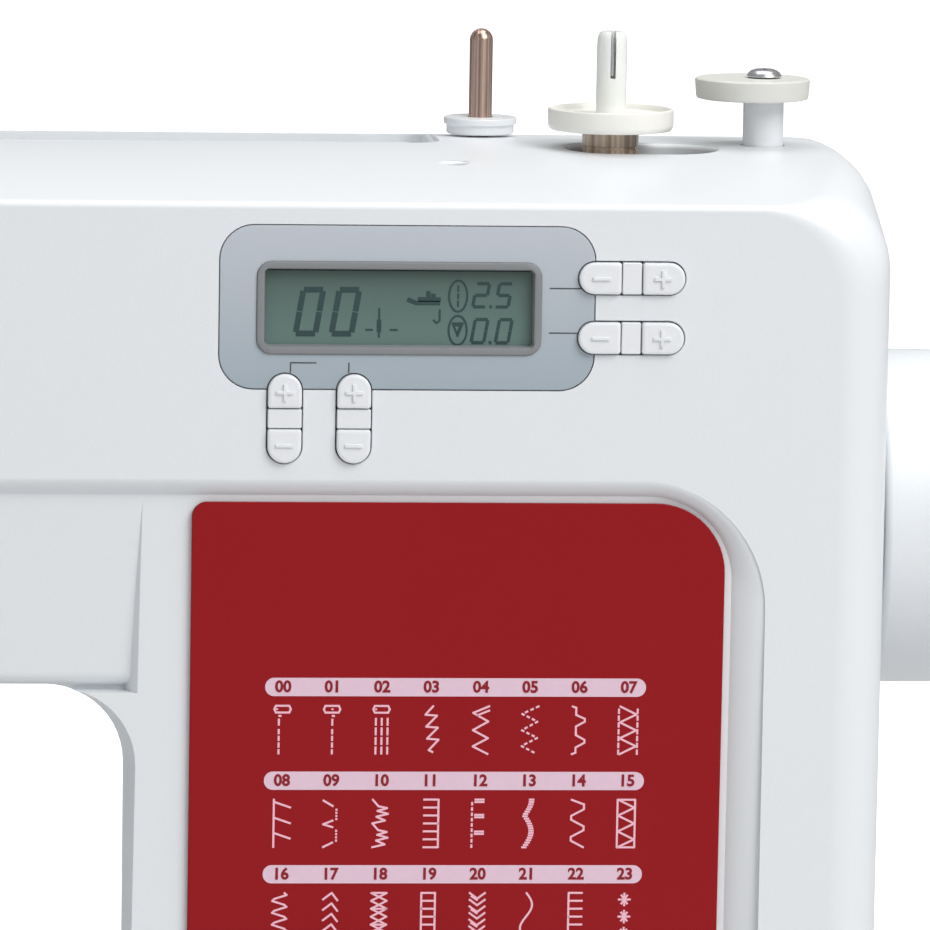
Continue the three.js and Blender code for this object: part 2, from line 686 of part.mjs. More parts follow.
function feedDog() {
  const rows = feedRows.map((x) => box(x - 1.3, x + 1.3, feedY.y0, feedY.y1, deckZ - 9, deckZ - 1.2));
  const teeth = feedRows.flatMap((x) =>
    Array.from({ length: 8 }, (_, k) => {
      const y = feedY.y0 + 0.5 + k * 2;
      const tooth = [
        [y, deckZ - 1.3],
        [y + 2, deckZ - 1.3],
        [y + 1.9, deckZ - 0.4],
      ].map((point) => new THREE.Vector2(...point));
      return prism("side", tooth, x - 1.3, x + 1.3);
    }),
  );
  const carrier = box(needleX - 10, needleX + 10, feedY.y0, feedY.y1, deckZ - 12, deckZ - 8);
  return join(carrier, ...rows, ...teeth);
}
add("feed_dog", feedDog(), steel);

// ---------------------------------------------------------------- rotary hook, bobbin case, bobbin
add(
  "rotary_hook",
  turned(
    "z",
    [
      [0, hookGearZ.bottom],
      [hookGearR, hookGearZ.bottom],
      [hookGearR, hookGearZ.top],
      [4, hookGearZ.top],
      [4, hookFloorZ],
      [hookRadius, hookFloorZ],
      [hookRadius, hookRimZ],
      [hookRadius - 2, hookRimZ],
      [hookRadius - 2, hookFloorZ + 2],
      [0, hookFloorZ + 2],
    ],
    needleX,
    hookY,
    28,
  ),
  steel,
);
add(
  "bobbin_case",
  turned(
    "z",
    [
      [0, caseFloorZ],
      [hookRadius - 2.6, caseFloorZ],
      [hookRadius - 2.6, caseRimZ],
      [bobbinRadius + 0.95, caseRimZ],
      [bobbinRadius + 0.95, hookFloorZ + 4],
      [0, hookFloorZ + 4],
    ],
    needleX,
    hookY,
    28,
  ),
  rubber,
);
add(
  "bobbin",
  turned(
    "z",
    [
      [bobbinZ.bore, bobbinZ.bottom],
      [bobbinRadius, bobbinZ.bottom],
      [bobbinRadius, bobbinZ.bottom + bobbinZ.flange],
      [bobbinZ.core, bobbinZ.bottom + bobbinZ.flange],
      [bobbinZ.core, bobbinZ.top - bobbinZ.flange],
      [bobbinRadius, bobbinZ.top - bobbinZ.flange],
      [bobbinRadius, bobbinZ.top],
      [bobbinZ.bore, bobbinZ.top],
      [bobbinZ.bore, bobbinZ.bottom],
    ],
    needleX,
    hookY,
    24,
  ),
  clear,
);

// ---------------------------------------------------------------- inner frame, shafts, belts, motor
const web = { y0: 30, y1: 35 };
const columnWeb = { x0: 60, x1: 142 };
const timing = { x: 72, r: 12 };
const drive = { x0: 147, x1: 155, r: 30, motorR: 6.5 };
const armWeb = { x0: -156, z0: 196, z1: 263 };
const crank = { x0: -126, x1: -118, r: 15 };
const mainBearings = { left: -112, right: 126, long: 12, block: 12 };
const lowerBearings = { left: -95, right: 84, long: 12, block: 9 };
const motorX = { x0: 88, x1: 138, shaft: 2.5, boss: 8 };
const boardSize = { x0: 45, x1: 150, z0: 100, z1: 212, y: frontY + 10, thick: 1.6 };
const presserGuideZ = { bottom: 196, top: 206 };
const frameBar = { z0: 162, z1: 170, z2: 232, z3: 240, half: 7, thick: 3 };
const needleBarTop = 252;

// A bearing block reaching forward from the web to a shaft along X.
function bearing(x0, { long, block }, y, z, r) {
  const x1 = x0 + long;
  return cut(box(x0, x1, y - block, web.y0 + 0.5, z - block, z + block), rod("x", r + slip, x0 - 1, x1 + 1, y, z));
}

function innerFrame() {
  const bottom = trayZ + trayThick + seat;
  const upper = box(armWeb.x0, columnWeb.x1, web.y0, web.y1, armWeb.z0, armWeb.z1);
  const column = box(columnWeb.x0, columnWeb.x1, web.y0, web.y1, bottom, armWeb.z0 + 4);
  const lower = box(-110, columnWeb.x0 + 1, web.y0, web.y1, lowerShaftZ - 10, lowerShaftZ + 16);
  const foot = box(columnWeb.x0, columnWeb.x1, web.y0 - 20, web.y1 + 20, bottom, bottom + 4);
  const headLug = box(lifter.x - 12, lifter.x + 12, web.y0, web.y1, lifter.z - 10, armWeb.z0 + 4);
  const lifterPin = rod("y", 3, web.y1 - 0.5, lifter.y1 + 2, lifter.x, lifter.z, 16);
  const presserGuide = cut(
    box(needleX - 7, needleX + 7, presserY - 5, web.y0 + 0.5, presserGuideZ.bottom, presserGuideZ.top),
    rod("z", presserRadius + slip, presserGuideZ.bottom - 6, presserGuideZ.top + 4, needleX, presserY, 20),
  );
  const takeUpPin = join(
    box(armWeb.x0, armWeb.x0 + 4, takeUp.y - 5, web.y0 + 0.5, takeUp.z - 5, takeUp.z + 5),
    rod("x", takeUp.pinR, takeUp.x - 2, armWeb.x0 + 2, takeUp.y, takeUp.z, 16),
  );
  return cut(
    join(
      upper,
      column,
      lower,
      foot,
      headLug,
      lifterPin,
      presserGuide,
      takeUpPin,
      bearing(mainBearings.left, mainBearings, shaftY, shaftZ, shaftRadius),
      bearing(mainBearings.right, mainBearings, shaftY, shaftZ, shaftRadius),
      bearing(lowerBearings.left, lowerBearings, lowerShaftY, lowerShaftZ, lowerShaftRadius),
      bearing(lowerBearings.right, lowerBearings, lowerShaftY, lowerShaftZ, lowerShaftRadius),
    ),
    rod("y", 3 + slip, web.y0 - 1, web.y1 + 1, needleX, frameTopZ, 20),
  );
}
add("inner_frame", innerFrame(), casting);

add(
  "main_shaft",
  join(
    rod("x", shaftRadius, crank.x0 + 4, shaftEnd, shaftY, shaftZ),
    rod("x", crank.r, crank.x0, crank.x1, shaftY, shaftZ, 28),
    rod("x", timing.r, timing.x - 6, timing.x + 6, shaftY, shaftZ),
    rod("x", drive.r, drive.x0, drive.x1, shaftY, shaftZ, 32),
  ),
  steel,
);
add(
  "lower_shaft",
  join(
    rod("x", lowerShaftRadius, needleX - 10, 100, lowerShaftY, lowerShaftZ, 16),
    rod("x", shaftGearR, needleX - 6, needleX + 6, lowerShaftY, lowerShaftZ),
    rod("x", timing.r, timing.x - 6, timing.x + 6, lowerShaftY, lowerShaftZ),
  ),
  steel,
);
add(
  "timing_belt",
  belt(timing.x - 5, timing.x + 5, lowerShaftY, lowerShaftZ, timing.r, shaftY, shaftZ, timing.r, 1.6),
  rubber,
);
add("drive_belt", belt(drive.x0 + 1, drive.x1 - 1, motorY, motorZ, drive.motorR, shaftY, shaftZ, drive.r, 2), rubber);
add(
  "motor",
  join(
    rod("x", motorRadius, motorX.x0, motorX.x1, motorY, motorZ, 28),
    rod("x", motorX.boss, motorX.x1, motorX.x1 + 3, motorY, motorZ, 16),
    box(motorX.x0 + 8, motorX.x1 - 8, motorY, web.y0 - seat, motorZ - 12, motorZ + 12),
  ),
  darkGrey,
);
add(
  "motor_pulley",
  join(
    rod("x", motorX.shaft, motorX.x1 + 3 + seat, drive.x1 + 3, motorY, motorZ, 12),
    rod("x", drive.motorR, drive.x0 - 1, drive.x1 + 1, motorY, motorZ, 20),
  ),
  steel,
);
add(
  "control_board",
  box(boardSize.x0, boardSize.x1, boardSize.y, boardSize.y + boardSize.thick, boardSize.z0, boardSize.z1),
  board,
);

// ---------------------------------------------------------------- hand wheel
function handWheel() {
  const r = wheelRadius;
  const profile = [
    [shaftRadius + seat, wheelLeft],
    [r - 1.5, wheelLeft],
    [r, wheelLeft + 1.5],
    [r, wheelRight - 5],
    [r - 1.4, wheelRight - 1.8],
    [r - 5, wheelRight],
    [r - 9, wheelRight - 1],
    [10, wheelRight - 3],
    [0, wheelRight - 3],
    [0, shaftEnd + seat],
    [shaftRadius + seat, shaftEnd + seat],
    [shaftRadius + seat, wheelLeft],
  ];
  return turned("x", profile, shaftY, shaftZ, 40);
}
add("handwheel", handWheel(), white);

// ---------------------------------------------------------------- take-up lever, needle and presser
// The lever is drawn level and then swung up to its highest place.
const takeUpLever = join(
  rod("x", 5.5, -takeUp.half, takeUp.half, 0, 0, 20),
  box(-takeUp.half, takeUp.half, -takeUp.reach, 0, -2.2, 2.2),
  rod("x", 4, -takeUp.half, takeUp.half, -takeUp.reach, 0, 20),
);
const lever = add(
  "take_up_lever",
  cut(takeUpLever, rod("x", 3, -3, 3, 0, 0, 16), rod("x", 1.6, -3, 3, -takeUp.reach, 0, 12)),
  steel,
);
lever.position.set(takeUp.x, takeUp.y, takeUp.z);
lever.rotation.x = -takeUp.swing;

const frameFrontY = needleY - 10;
function needleBarFrame() {
  const { z0, z1, z2, z3, half, thick } = frameBar;
  return cut(
    join(
      box(needleX - half, needleX + half, frameFrontY, frameFrontY + thick, z0, frameTopZ + 4),
      box(needleX - half, needleX + half, frameFrontY, needleY + 5.5, z0, z1),
      box(needleX - half, needleX + half, frameFrontY, needleY + 5.5, z2, z3),
      box(needleX - 5, needleX + 5, frameFrontY, needleY + 7, frameTopZ - 4, frameTopZ + 4),
      rod("y", 3, needleY + 6, web.y1 + 2, needleX, frameTopZ, 16),
    ),
    rod("z", barRadius + slip, z0 - 2, z3 + 2, needleX, needleY, 20),
  );
}
add("needle_bar_frame", needleBarFrame(), casting);
add("needle_bar", rod("z", barRadius, barFootZ, needleBarTop, needleX, needleY, 20), steel);
add(
  "needle_clamp",
  cut(
    join(
      rod("z", 5.2, barFootZ + 1, barFootZ + 11, needleX, needleY, 20),
      rod("x", 2.2, needleX + 4, needleX + 8, needleY, barFootZ + 6, 12),
      rod("x", 3.4, needleX + 8, needleX + 12, needleY, barFootZ + 6, 16),
    ),
    rod("z", barRadius + seat, barFootZ, barFootZ + 12, needleX, needleY, 20),
  ),
  steel,
);
add(
  "needle",
  turned(
    "z",
    [
      [0, needleTipZ],
      [0.45, needleTipZ + 3],
      [0.45, needleTipZ + 20],
      [1, needleTipZ + 21],
      [1, barFootZ - seat],
      [0, barFootZ - seat],
    ],
    needleX,
    needleY,
    10,
  ),
  steel,
);

const footPivot = { y: needleY + 10, z: deckZ + 8 };
const holderTopZ = deckZ + 26;
add("presser_bar", rod("z", presserRadius, holderTopZ + seat, 240, needleX, presserY, 20), steel);
add(
  "foot_holder",
  cut(
    join(
      box(needleX - 4.5, needleX + 4.5, presserY - 5, presserY + 5, holderTopZ - 12, holderTopZ),
      box(needleX - 2.5, needleX + 2.5, footPivot.y - 3.4, presserY + 2, footPivot.z - 3.4, holderTopZ - 11),
    ),
    rod("x", 1.7, needleX - 5, needleX + 5, footPivot.y, footPivot.z, 16),
  ),
  steel,
);
const soleZ = deckZ + 1;
const sole = prism(
  "side",
  [
    [needleY - 8.2, soleZ + 2.6],
    [needleY - 4, soleZ],
    [needleY + 18, soleZ],
    [needleY + 18, soleZ + 1.8],
    [needleY - 3.6, soleZ + 1.8],
    [needleY - 7.8, soleZ + 4],
  ].map(([y, z]) => new THREE.Vector2(y, z)),
  needleX - 9.5,
  needleX + 9.5,
);
const ear = (x) =>
  join(
    rod("x", 2.8, x - 0.9, x + 0.9, footPivot.y, footPivot.z, 16),
    box(x - 0.9, x + 0.9, footPivot.y - 2.8, footPivot.y + 2.8, soleZ + 1, footPivot.z),
  );
add(
  "presser_foot",
  join(
    cut(
      sole,
      box(needleX - 4.5, needleX + 4.5, needleY - 2, needleY + 2, soleZ - 1, soleZ + 5),
      box(needleX - 1.2, needleX + 1.2, needleY - 9, needleY, soleZ - 1, soleZ + 5),
    ),
    ear(needleX - 4.2),
    ear(needleX + 4.2),
    rod("x", 1.25, needleX - 4.2, needleX + 4.2, footPivot.y, footPivot.z, 12),
  ),
  steel,
);

const lifterLean = THREE.MathUtils.degToRad(4);
const lifterArm = join(
  rod("y", 6, lifter.y0, lifter.y1, 0, 0, 20),
  box(-3, 3, lifter.y0, lifter.y1, -lifter.reach, 0),
  prism("front", rectangle(-5, -lifter.reach - 9, 5, -lifter.reach + 1, 3), lifter.y0 - 1, lifter.y1 + 3),
);
const lifterMesh = add(
  "presser_lifter",
  cut(lifterArm, rod("y", 3 + slip, lifter.y0 - 2, lifter.y1 + 5, 0, 0, 16)),
  darkGrey,
);
lifterMesh.position.set(lifter.x, 0, lifter.z);
lifterMesh.rotation.y = -lifterLean;

// ---------------------------------------------------------------- display, panel, buttons
function displayPlate() {
  const { x0, x1, z0, z1, r } = display;
  const outline = rectangle(x0 + 0.2, z0 + 0.2, x1 - 0.2, z1 - 0.2, r);
  const flat = prism("front", outline, frontY + 0.05, frontY + plateThick);
  const frame = rectangle(bezel.x0, bezel.z0, bezel.x1, bezel.z1, bezel.r);
  const rim = prism("front", frame, frontY - 0.5, frontY + 3);
  const openings = pairs.flatMap((pair) => [
    buttonBody(pair, 1, 0.25, frontY - 3, frontY + 4),
    buttonBody(pair, -1, 0.25, frontY - 3, frontY + 4),
    buttonBridge(pair, 0.7),
  ]);
  const screen = prism("front", rectangle(lcd.x0, lcd.z0, lcd.x1, lcd.z1, lcd.r), frontY - 3, frontY + 5);
  return cut(join(flat, rim), screen, ...openings);
}
add("display_plate", displayPlate(), grey);
add(
  "display_screen",
  join(
    box(bezel.x0 - 0.5, bezel.x1 + 0.5, frontY + 3 + seat, frontY + 7.5, bezel.z0 - 0.5, bezel.z1 + 0.5),
    box(lcd.x0 + seat, lcd.x1 - seat, frontY + 1.8, frontY + 4, lcd.z0 + seat, lcd.z1 - seat),
  ),
  lcdGreen,
);

const panelOutline = fillet([
  [panel.x0, panel.z0 - recess.z1, panel.r],
  [panel.x1, panel.z0 - recess.z1, panel.r],
  [panel.x1, panel.z1 - recess.z1, panel.bigR],
  [panel.x0, panel.z1 - recess.z1, panel.r],
]);
const panelMesh = add("stitch_panel", prism("front", panelOutline, 0, panel.thick), red);
panelMesh.position.set(0, frontY + recess.depth - panel.thick - seat, recess.z1);
panelMesh.rotation.x = recessTilt;

for (const pair of pairs)
  for (const side of [1, -1])
    add(
      `${pair.name}_${side > 0 ? "plus" : "minus"}_button`,
      buttonBody(pair, side, 0, frontY - buttonProud, frontY + 5),
      warmWhite,
    );

for (const b of headButtons)
  add(
    b.name,
    join(
      rod("y", b.r, frontY - 3, frontY + wall + 1, b.x, b.z, 24),
      rod("y", b.r + 1.5, frontY + wall + seat, frontY + wall + 2, b.x, b.z, 20),
    ),
    warmWhite,
  );

add(
  "speed_slider",
  join(
    box(slider.x - 4, slider.x + 4, frontY - 3.4, frontY - 0.4, slider.z - 4, slider.z + 4),
    box(slider.x - 2, slider.x + 2, frontY - 0.5, frontY + wall + 1, slider.z - 1.8, slider.z + 1.8),
    box(slider.x - 4, slider.x + 4, frontY + wall + seat, frontY + wall + 2, slider.z - 4, slider.z + 4),
  ),
  lightGrey,
);
add(
  "tension_dial",
  turned(
    "x",
    [
      [dial.bore, dial.x - dial.half],
      [dial.r - 1, dial.x - dial.half],
      [dial.r, dial.x - dial.half + 1],
      [dial.r, dial.x + dial.half - 1],
      [dial.r - 1, dial.x + dial.half],
      [dial.bore, dial.x + dial.half],
      [dial.bore, dial.x - dial.half],
    ],
    dial.y,
    dial.z,
    36,
  ),
  lightGrey,
);

// ---------------------------------------------------------------- fittings on top
add(
  "spool_pin_collar",
  turned(
    "z",
    [
      [spool.r + seat, crown(spool.y - spool.collarR) + seat],
      [spool.collarR - 0.4, crown(spool.y - spool.collarR) + seat],
      [spool.collarR - 0.4, spool.collarTop - 1.6],
      [spool.collarR, spool.collarTop - 1.4],
      [spool.collarR, spool.collarTop],
      [spool.r + seat, spool.collarTop],
      [spool.r + seat, crown(spool.y - spool.collarR) + seat],
    ],
    spool.x,
    spool.y,
    32,
  ),
  warmWhite,
);
add(
  "spool_pin",
  turned(
    "z",
    [
      [0, spool.bottom],
      [spool.r, spool.bottom],
      [spool.r, spool.top - spool.r],
      [spool.r * 0.87, spool.top - spool.r * 0.5],
      [spool.r * 0.5, spool.top - spool.r * 0.13],
      [0, spool.top],
    ],
    spool.x,
    spool.y,
    20,
  ),
  copper,
);
const flangeZ = { bottom: 290.9, top: 295.4 };
const carriageZ = 272;
add(
  "winder_carriage",
  cut(
    join(
      rod("z", winder.hubR, carriageZ + 2, flangeZ.bottom - seat, winder.x, winder.y, 24),
      box(winder.x - 9, winder.x + 9, winder.y - 12, winder.y + 4, carriageZ, carriageZ + 4),
    ),
    rod("z", spindle.coreR + slip, carriageZ - 2, flangeZ.bottom + 1, winder.x, winder.y, 16),
  ),
  amber,
);
add(
  "winder_flange",
  cut(
    turned(
      "z",
      [
        [spindle.r + seat, flangeZ.bottom],
        [winder.flangeR - 0.5, flangeZ.bottom],
        [winder.flangeR, flangeZ.bottom + 0.5],
        [winder.flangeR, flangeZ.top],
        [winder.flangeR - 0.9, flangeZ.top],
        [winder.flangeR - 1.2, flangeZ.top - 1.4],
        [spindle.r + seat, flangeZ.top - 1.4],
        [spindle.r + seat, flangeZ.bottom],
      ],
      winder.x,
      winder.y,
      40,
    ),
  ),
  lightGrey,
);
add(
  "winder_spindle",
  cut(
    join(
      rod("z", spindle.coreR, 268, flangeZ.bottom + 1, winder.x, winder.y, 16),
      rod("z", spindle.r, flangeZ.bottom + 0.2, spindle.top - 1.2, winder.x, winder.y, 20),
      rod("z", spindle.r, spindle.top - 1.3, spindle.top, winder.x, winder.y, 20, spindle.r - 0.9),
    ),
    box(winder.x - 0.4, winder.x + 0.4, winder.y - 5, winder.y - 1, spindle.top - 9.2, spindle.top - 1.2),
  ),
  milky,
);
add(
  "winder_stop",
  join(
    rod("z", stop.postR, crown(stop.y) - 1, stop.z0 + 1, stop.postX, stop.y, 20),
    turned(
      "z",
      [
        [0, stop.z0],
        [stop.r - 0.5, stop.z0],
        [stop.r, stop.z0 + 0.5],
        [stop.r, stop.z1 - 0.4],
        [stop.r - 0.4, stop.z1],
        [0, stop.z1],
      ],
      stop.x,
      stop.y,
      40,
    ),
  ),
  lightGrey,
);
add(
  "winder_stop_screw",
  cut(
    rod("z", stop.screwR, stop.z1 + seat, stop.z1 + 1.9, stop.postX, stop.y, 20, stop.screwR - 1),
    box(stop.postX - 4, stop.postX + 4, stop.y - 0.4, stop.y + 0.4, stop.z1 + 1.2, stop.z1 + 3),
  ),
  steel,
);

// The carrying handle lies flat in its well and turns on two stub pins.
function carryHandle() {
  const h = handle;
  const grip = prism(
    "side",
    rectangle(h.y0, h.bottom, h.y0 + h.gripDepth, crown(h.y0 + h.gripDepth) - 0.8, 4),
    h.x0,
    h.x1,
  );
  const arm = (x) =>
    join(
      box(x, x + h.armWide, h.y0 + 6, handlePin.y, handlePin.z - 3.5, handlePin.z + 4.5),
      rod("x", 4.5, x, x + h.armWide, handlePin.y, handlePin.z, 20),
    );
  return join(
    grip,
    arm(h.x0),
    arm(h.x1 - h.armWide),
    rod("x", handlePin.r, h.x0 - 5.5, h.x0 + 1, handlePin.y, handlePin.z, 16),
    rod("x", handlePin.r, h.x1 - 1, h.x1 + 5.5, handlePin.y, handlePin.z, 16),
  );
}
add("handle", carryHandle(), warmWhite);

// ---------------------------------------------------------------- mains inlet and switch
const inletMid = { y: (inlet.y0 + inlet.y1) / 2, z: (inlet.z0 + inlet.z1) / 2 };
add(
  "power_inlet",
  join(
    cut(
      box(inlet.x0, bodyRight + 1, inlet.y0, inlet.y1, inlet.z0, inlet.z1),
      box(inlet.x0 + 3, bodyRight + 2, inlet.y0 + 3, inlet.y1 - 3, inlet.z0 + 3.5, inlet.z1 - 3.5),
    ),
    ...[-5, 5].map((dy) => rod("x", 1.2, inlet.x0 + 2, inlet.x0 + 9, inletMid.y + dy, inletMid.z, 12)),
  ),
  rubber,
);
const rockerMid = (rocker.y0 + rocker.y1) / 2;
const rockerZ = (rocker.z0 + rocker.z1) / 2;
add(
  "power_switch",
  join(
    prism(
      "front",
      [
        [bodyRight - 9, rockerZ - 6.2],
        [bodyRight + 0.2, rockerZ - 6.2],
        [bodyRight + 2, rockerZ + 6.2],
        [bodyRight - 9, rockerZ + 6.2],
      ].map(([x, z]) => new THREE.Vector2(x, z)),
      rocker.y0 + 0.5,
      rocker.y1 - 0.5,
    ),
    rod("y", 2, rockerMid - 8.8, rockerMid + 8.8, bodyRight - 3, rockerZ, 12),
  ),
  rubber,
);

export default machine;
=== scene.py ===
# %% [markdown]
# A sewing machine, modelled around its working frame
#
# The mechanism comes in as a imported CAD frame: every shaft, lever and button already has its size, place
# and joint. This lesson adds what the eye sees: moulded covers with soft edges, a display with its
# segments, a printed stitch chart, and plastics and metals with a little life in their surface.
# Everything is in metres, with +Z up, the front of the machine facing -Y and its hand wheel at +X.

# %% Load the frame
import json
import math

import bmesh
import bpy
from mathutils import Matrix, Vector

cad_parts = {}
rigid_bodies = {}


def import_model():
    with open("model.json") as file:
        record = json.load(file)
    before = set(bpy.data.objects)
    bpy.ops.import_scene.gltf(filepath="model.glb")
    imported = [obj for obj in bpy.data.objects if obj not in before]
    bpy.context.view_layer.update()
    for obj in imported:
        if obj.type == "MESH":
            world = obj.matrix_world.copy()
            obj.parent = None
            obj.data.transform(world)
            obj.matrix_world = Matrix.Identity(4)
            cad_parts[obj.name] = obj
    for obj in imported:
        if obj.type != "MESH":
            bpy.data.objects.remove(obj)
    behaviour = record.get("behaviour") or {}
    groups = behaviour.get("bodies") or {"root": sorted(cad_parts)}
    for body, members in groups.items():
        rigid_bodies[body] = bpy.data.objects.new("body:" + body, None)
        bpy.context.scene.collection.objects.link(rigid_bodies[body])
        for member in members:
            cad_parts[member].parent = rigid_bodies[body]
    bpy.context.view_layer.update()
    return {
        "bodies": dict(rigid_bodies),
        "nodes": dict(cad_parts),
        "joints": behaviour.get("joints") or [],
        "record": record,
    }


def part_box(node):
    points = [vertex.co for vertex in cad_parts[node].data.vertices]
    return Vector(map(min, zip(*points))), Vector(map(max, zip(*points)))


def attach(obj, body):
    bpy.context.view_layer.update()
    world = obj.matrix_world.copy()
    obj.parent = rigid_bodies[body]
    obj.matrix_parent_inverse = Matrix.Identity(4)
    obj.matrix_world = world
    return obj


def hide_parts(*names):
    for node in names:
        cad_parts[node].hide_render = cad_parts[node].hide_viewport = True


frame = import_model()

nodes = frame["nodes"]

# %% [markdown]
# ## The sizes that everything shares
#
# A cover has to meet its neighbours, so no size is typed twice. Edges and seams are read from the
# frame's own boxes, and only what the frame can't say, such as the radius of a soft edge, is a value here.

# %% Sizes read from the frame
MM = 0.001


def low_high(node):
    low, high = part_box(node)
    return low / MM, high / MM


front_low, front_high = low_high("front_cover")
rear_high = low_high("rear_cover")[1]
BODY_LEFT, BODY_RIGHT = front_low.x, front_high.x
REAR_Y, SPLIT_Y = rear_high.y, low_high("rear_cover")[0].y - 0.15
DECK_Z = low_high("needle_plate")[1].z
FRONT_Y = -49.0           # the flat front face; the button bridges stand a little before it
SHELL_BOTTOM = front_low.z
THROAT_LEFT, THROAT_RIGHT = -98.0, low_high("base_cover")[0].x
THROAT_DRAFT = math.tan(math.radians(2.2))      # the throat's sides open towards the rear
HEAD_UNDER, ARM_UNDER = 138.0, 184.2
TOP_EDGE_Z, CROWN_Z, CROWN_Y = 281.3, 287.3, (FRONT_Y + REAR_Y) / 2
WALL, GAP = 2.5, 0.3      # of the covers, and between one piece and the next
HANDLE_PIN = {"y": 50, "z": 277, "r": 3}
SHAFT = {"y": 10, "z": 211.3}
print("shell", BODY_LEFT, BODY_RIGHT, FRONT_Y, REAR_Y, "deck", DECK_Z)

# %% [markdown]
# ## Camera and light first
#
# The camera stands well back with a long lens, a little above the machine, so that upright edges stay
# nearly parallel and the top shows as a narrow bright band. Setting it up first means that each new
# piece can be judged in the view that matters.

# %% Camera
CAMERA_AT = Vector((-23.0, -1421.4, 423.7)) * MM
PITCH = math.radians(11.4)
AIM_RIGHT, AIM_UP = 0.08286, 0.05857       # the view's centre, off the camera's level axis
ahead = Vector((0, math.cos(PITCH), -math.sin(PITCH)))
above = Vector((0, math.sin(PITCH), math.cos(PITCH)))
aim = (ahead + Vector((AIM_RIGHT, 0, 0)) + above * AIM_UP).normalized()

bpy.ops.object.camera_add(location=CAMERA_AT)
camera = bpy.context.object
right = aim.cross(above).normalized()
up = right.cross(aim).normalized()
camera.matrix_world = Matrix.Translation(CAMERA_AT) @ Matrix((right, up, -aim)).transposed().to_4x4()
camera.data.sensor_width = 36
camera.data.lens = 272.6
camera.data.clip_end = 100
bpy.context.scene.camera = camera
print("camera", [round(x, 3) for x in camera.location])

# %% [markdown]
# ## A pale table and soft light
#
# White plastic on a white ground only reads when light falls across it unevenly. A large soft source on
# the right models the upright faces, one overhead gives the top its brightness, and a weak cool one on
# the left keeps the far sides open. Floor and sky are white to the eye, and weaker than that as lights.

# %% Floor and lights
bpy.ops.mesh.primitive_plane_add(size=60, location=(0, 0, 0))
floor = bpy.context.object
floor.name = "floor"
card = bpy.data.materials.new("white_card")
card.use_nodes = True
tree, shader = card.node_tree, card.node_tree.nodes["Principled BSDF"]
shader.inputs["Base Color"].default_value = (0.6, 0.6, 0.6, 1)
shader.inputs["Roughness"].default_value = 0.9
shader.inputs["Specular IOR Level"].default_value = 0.0
shader.inputs["Emission Color"].default_value = (1, 1, 1, 1)
rays = tree.nodes.new("ShaderNodeLightPath")     # a lit sweep: brighter to the eye than as a light
glow = tree.nodes.new("ShaderNodeMath")
glow.operation = "MULTIPLY"
glow.inputs[1].default_value = 1.0
tree.links.new(rays.outputs["Is Camera Ray"], glow.inputs[0])
tree.links.new(glow.outputs["Value"], shader.inputs["Emission Strength"])
floor.data.materials.append(card)


def area_light(name, place, target, size, power, colour):
    bpy.ops.object.light_add(type="AREA", location=place)
    light = bpy.context.object
    light.name = name
    light.data.shape = "RECTANGLE"
    light.data.size, light.data.size_y = size
    light.data.energy, light.data.color = power, colour
    light.rotation_euler = (Vector(target) - Vector(place)).to_track_quat("-Z", "Y").to_euler()
    light.visible_camera = False


MIDDLE = (0.05, 0, 0.2)
area_light("key", (1.3, -1.5, 1.9), MIDDLE, (1.5, 1.5), 47, (1.0, 0.99, 0.98))
area_light("front_fill", (-1.2, -2.4, 1.0), MIDDLE, (1.6, 1.6), 4, (0.93, 0.96, 1.0))
area_light("top_fill", (0.1, 0.2, 2.5), MIDDLE, (2.2, 1.6), 29, (1, 1, 1))

world = bpy.data.worlds.new("white_room")
bpy.context.scene.world = world
world.use_nodes = True
sky = world.node_tree
rays = sky.nodes.new("ShaderNodeLightPath")
shine = sky.nodes.new("ShaderNodeMapRange")     # white to the eye, softer as a light
shine.inputs["To Min"].default_value, shine.inputs["To Max"].default_value = 0.36, 1.0
sky.links.new(rays.outputs["Is Camera Ray"], shine.inputs["Value"])
sky.links.new(shine.outputs["Result"], sky.nodes["Background"].inputs["Strength"])
sky.nodes["Background"].inputs["Color"].default_value = (1, 1, 1, 1)
bpy.context.scene.view_settings.view_transform = "Standard"

# %% [markdown]
# ## Shader maths as plain expressions
#
# A procedural finish is arithmetic on noise. Wrapping a socket in a small class lets that arithmetic be
# written as Python, such as `0.3 + 0.08 * grain`, while Blender gets its Math nodes. Any other node
# comes from one method.


# %% Sockets with operators
class Value:
    """A shader socket that can be added, subtracted and multiplied."""

    def __init__(self, paint, socket):
        self.paint, self.socket = paint, socket

    def _math(self, operation, first, second):
        return self.paint.node("ShaderNodeMath", {"operation": operation}, {0: first, 1: second})

    def __add__(self, other):
        return self._math("ADD", self, other)

    def __mul__(self, other):
        return self._math("MULTIPLY", self, other)

    def __sub__(self, other):
        return self._math("SUBTRACT", self, other)

    __radd__, __rmul__ = __add__, __mul__


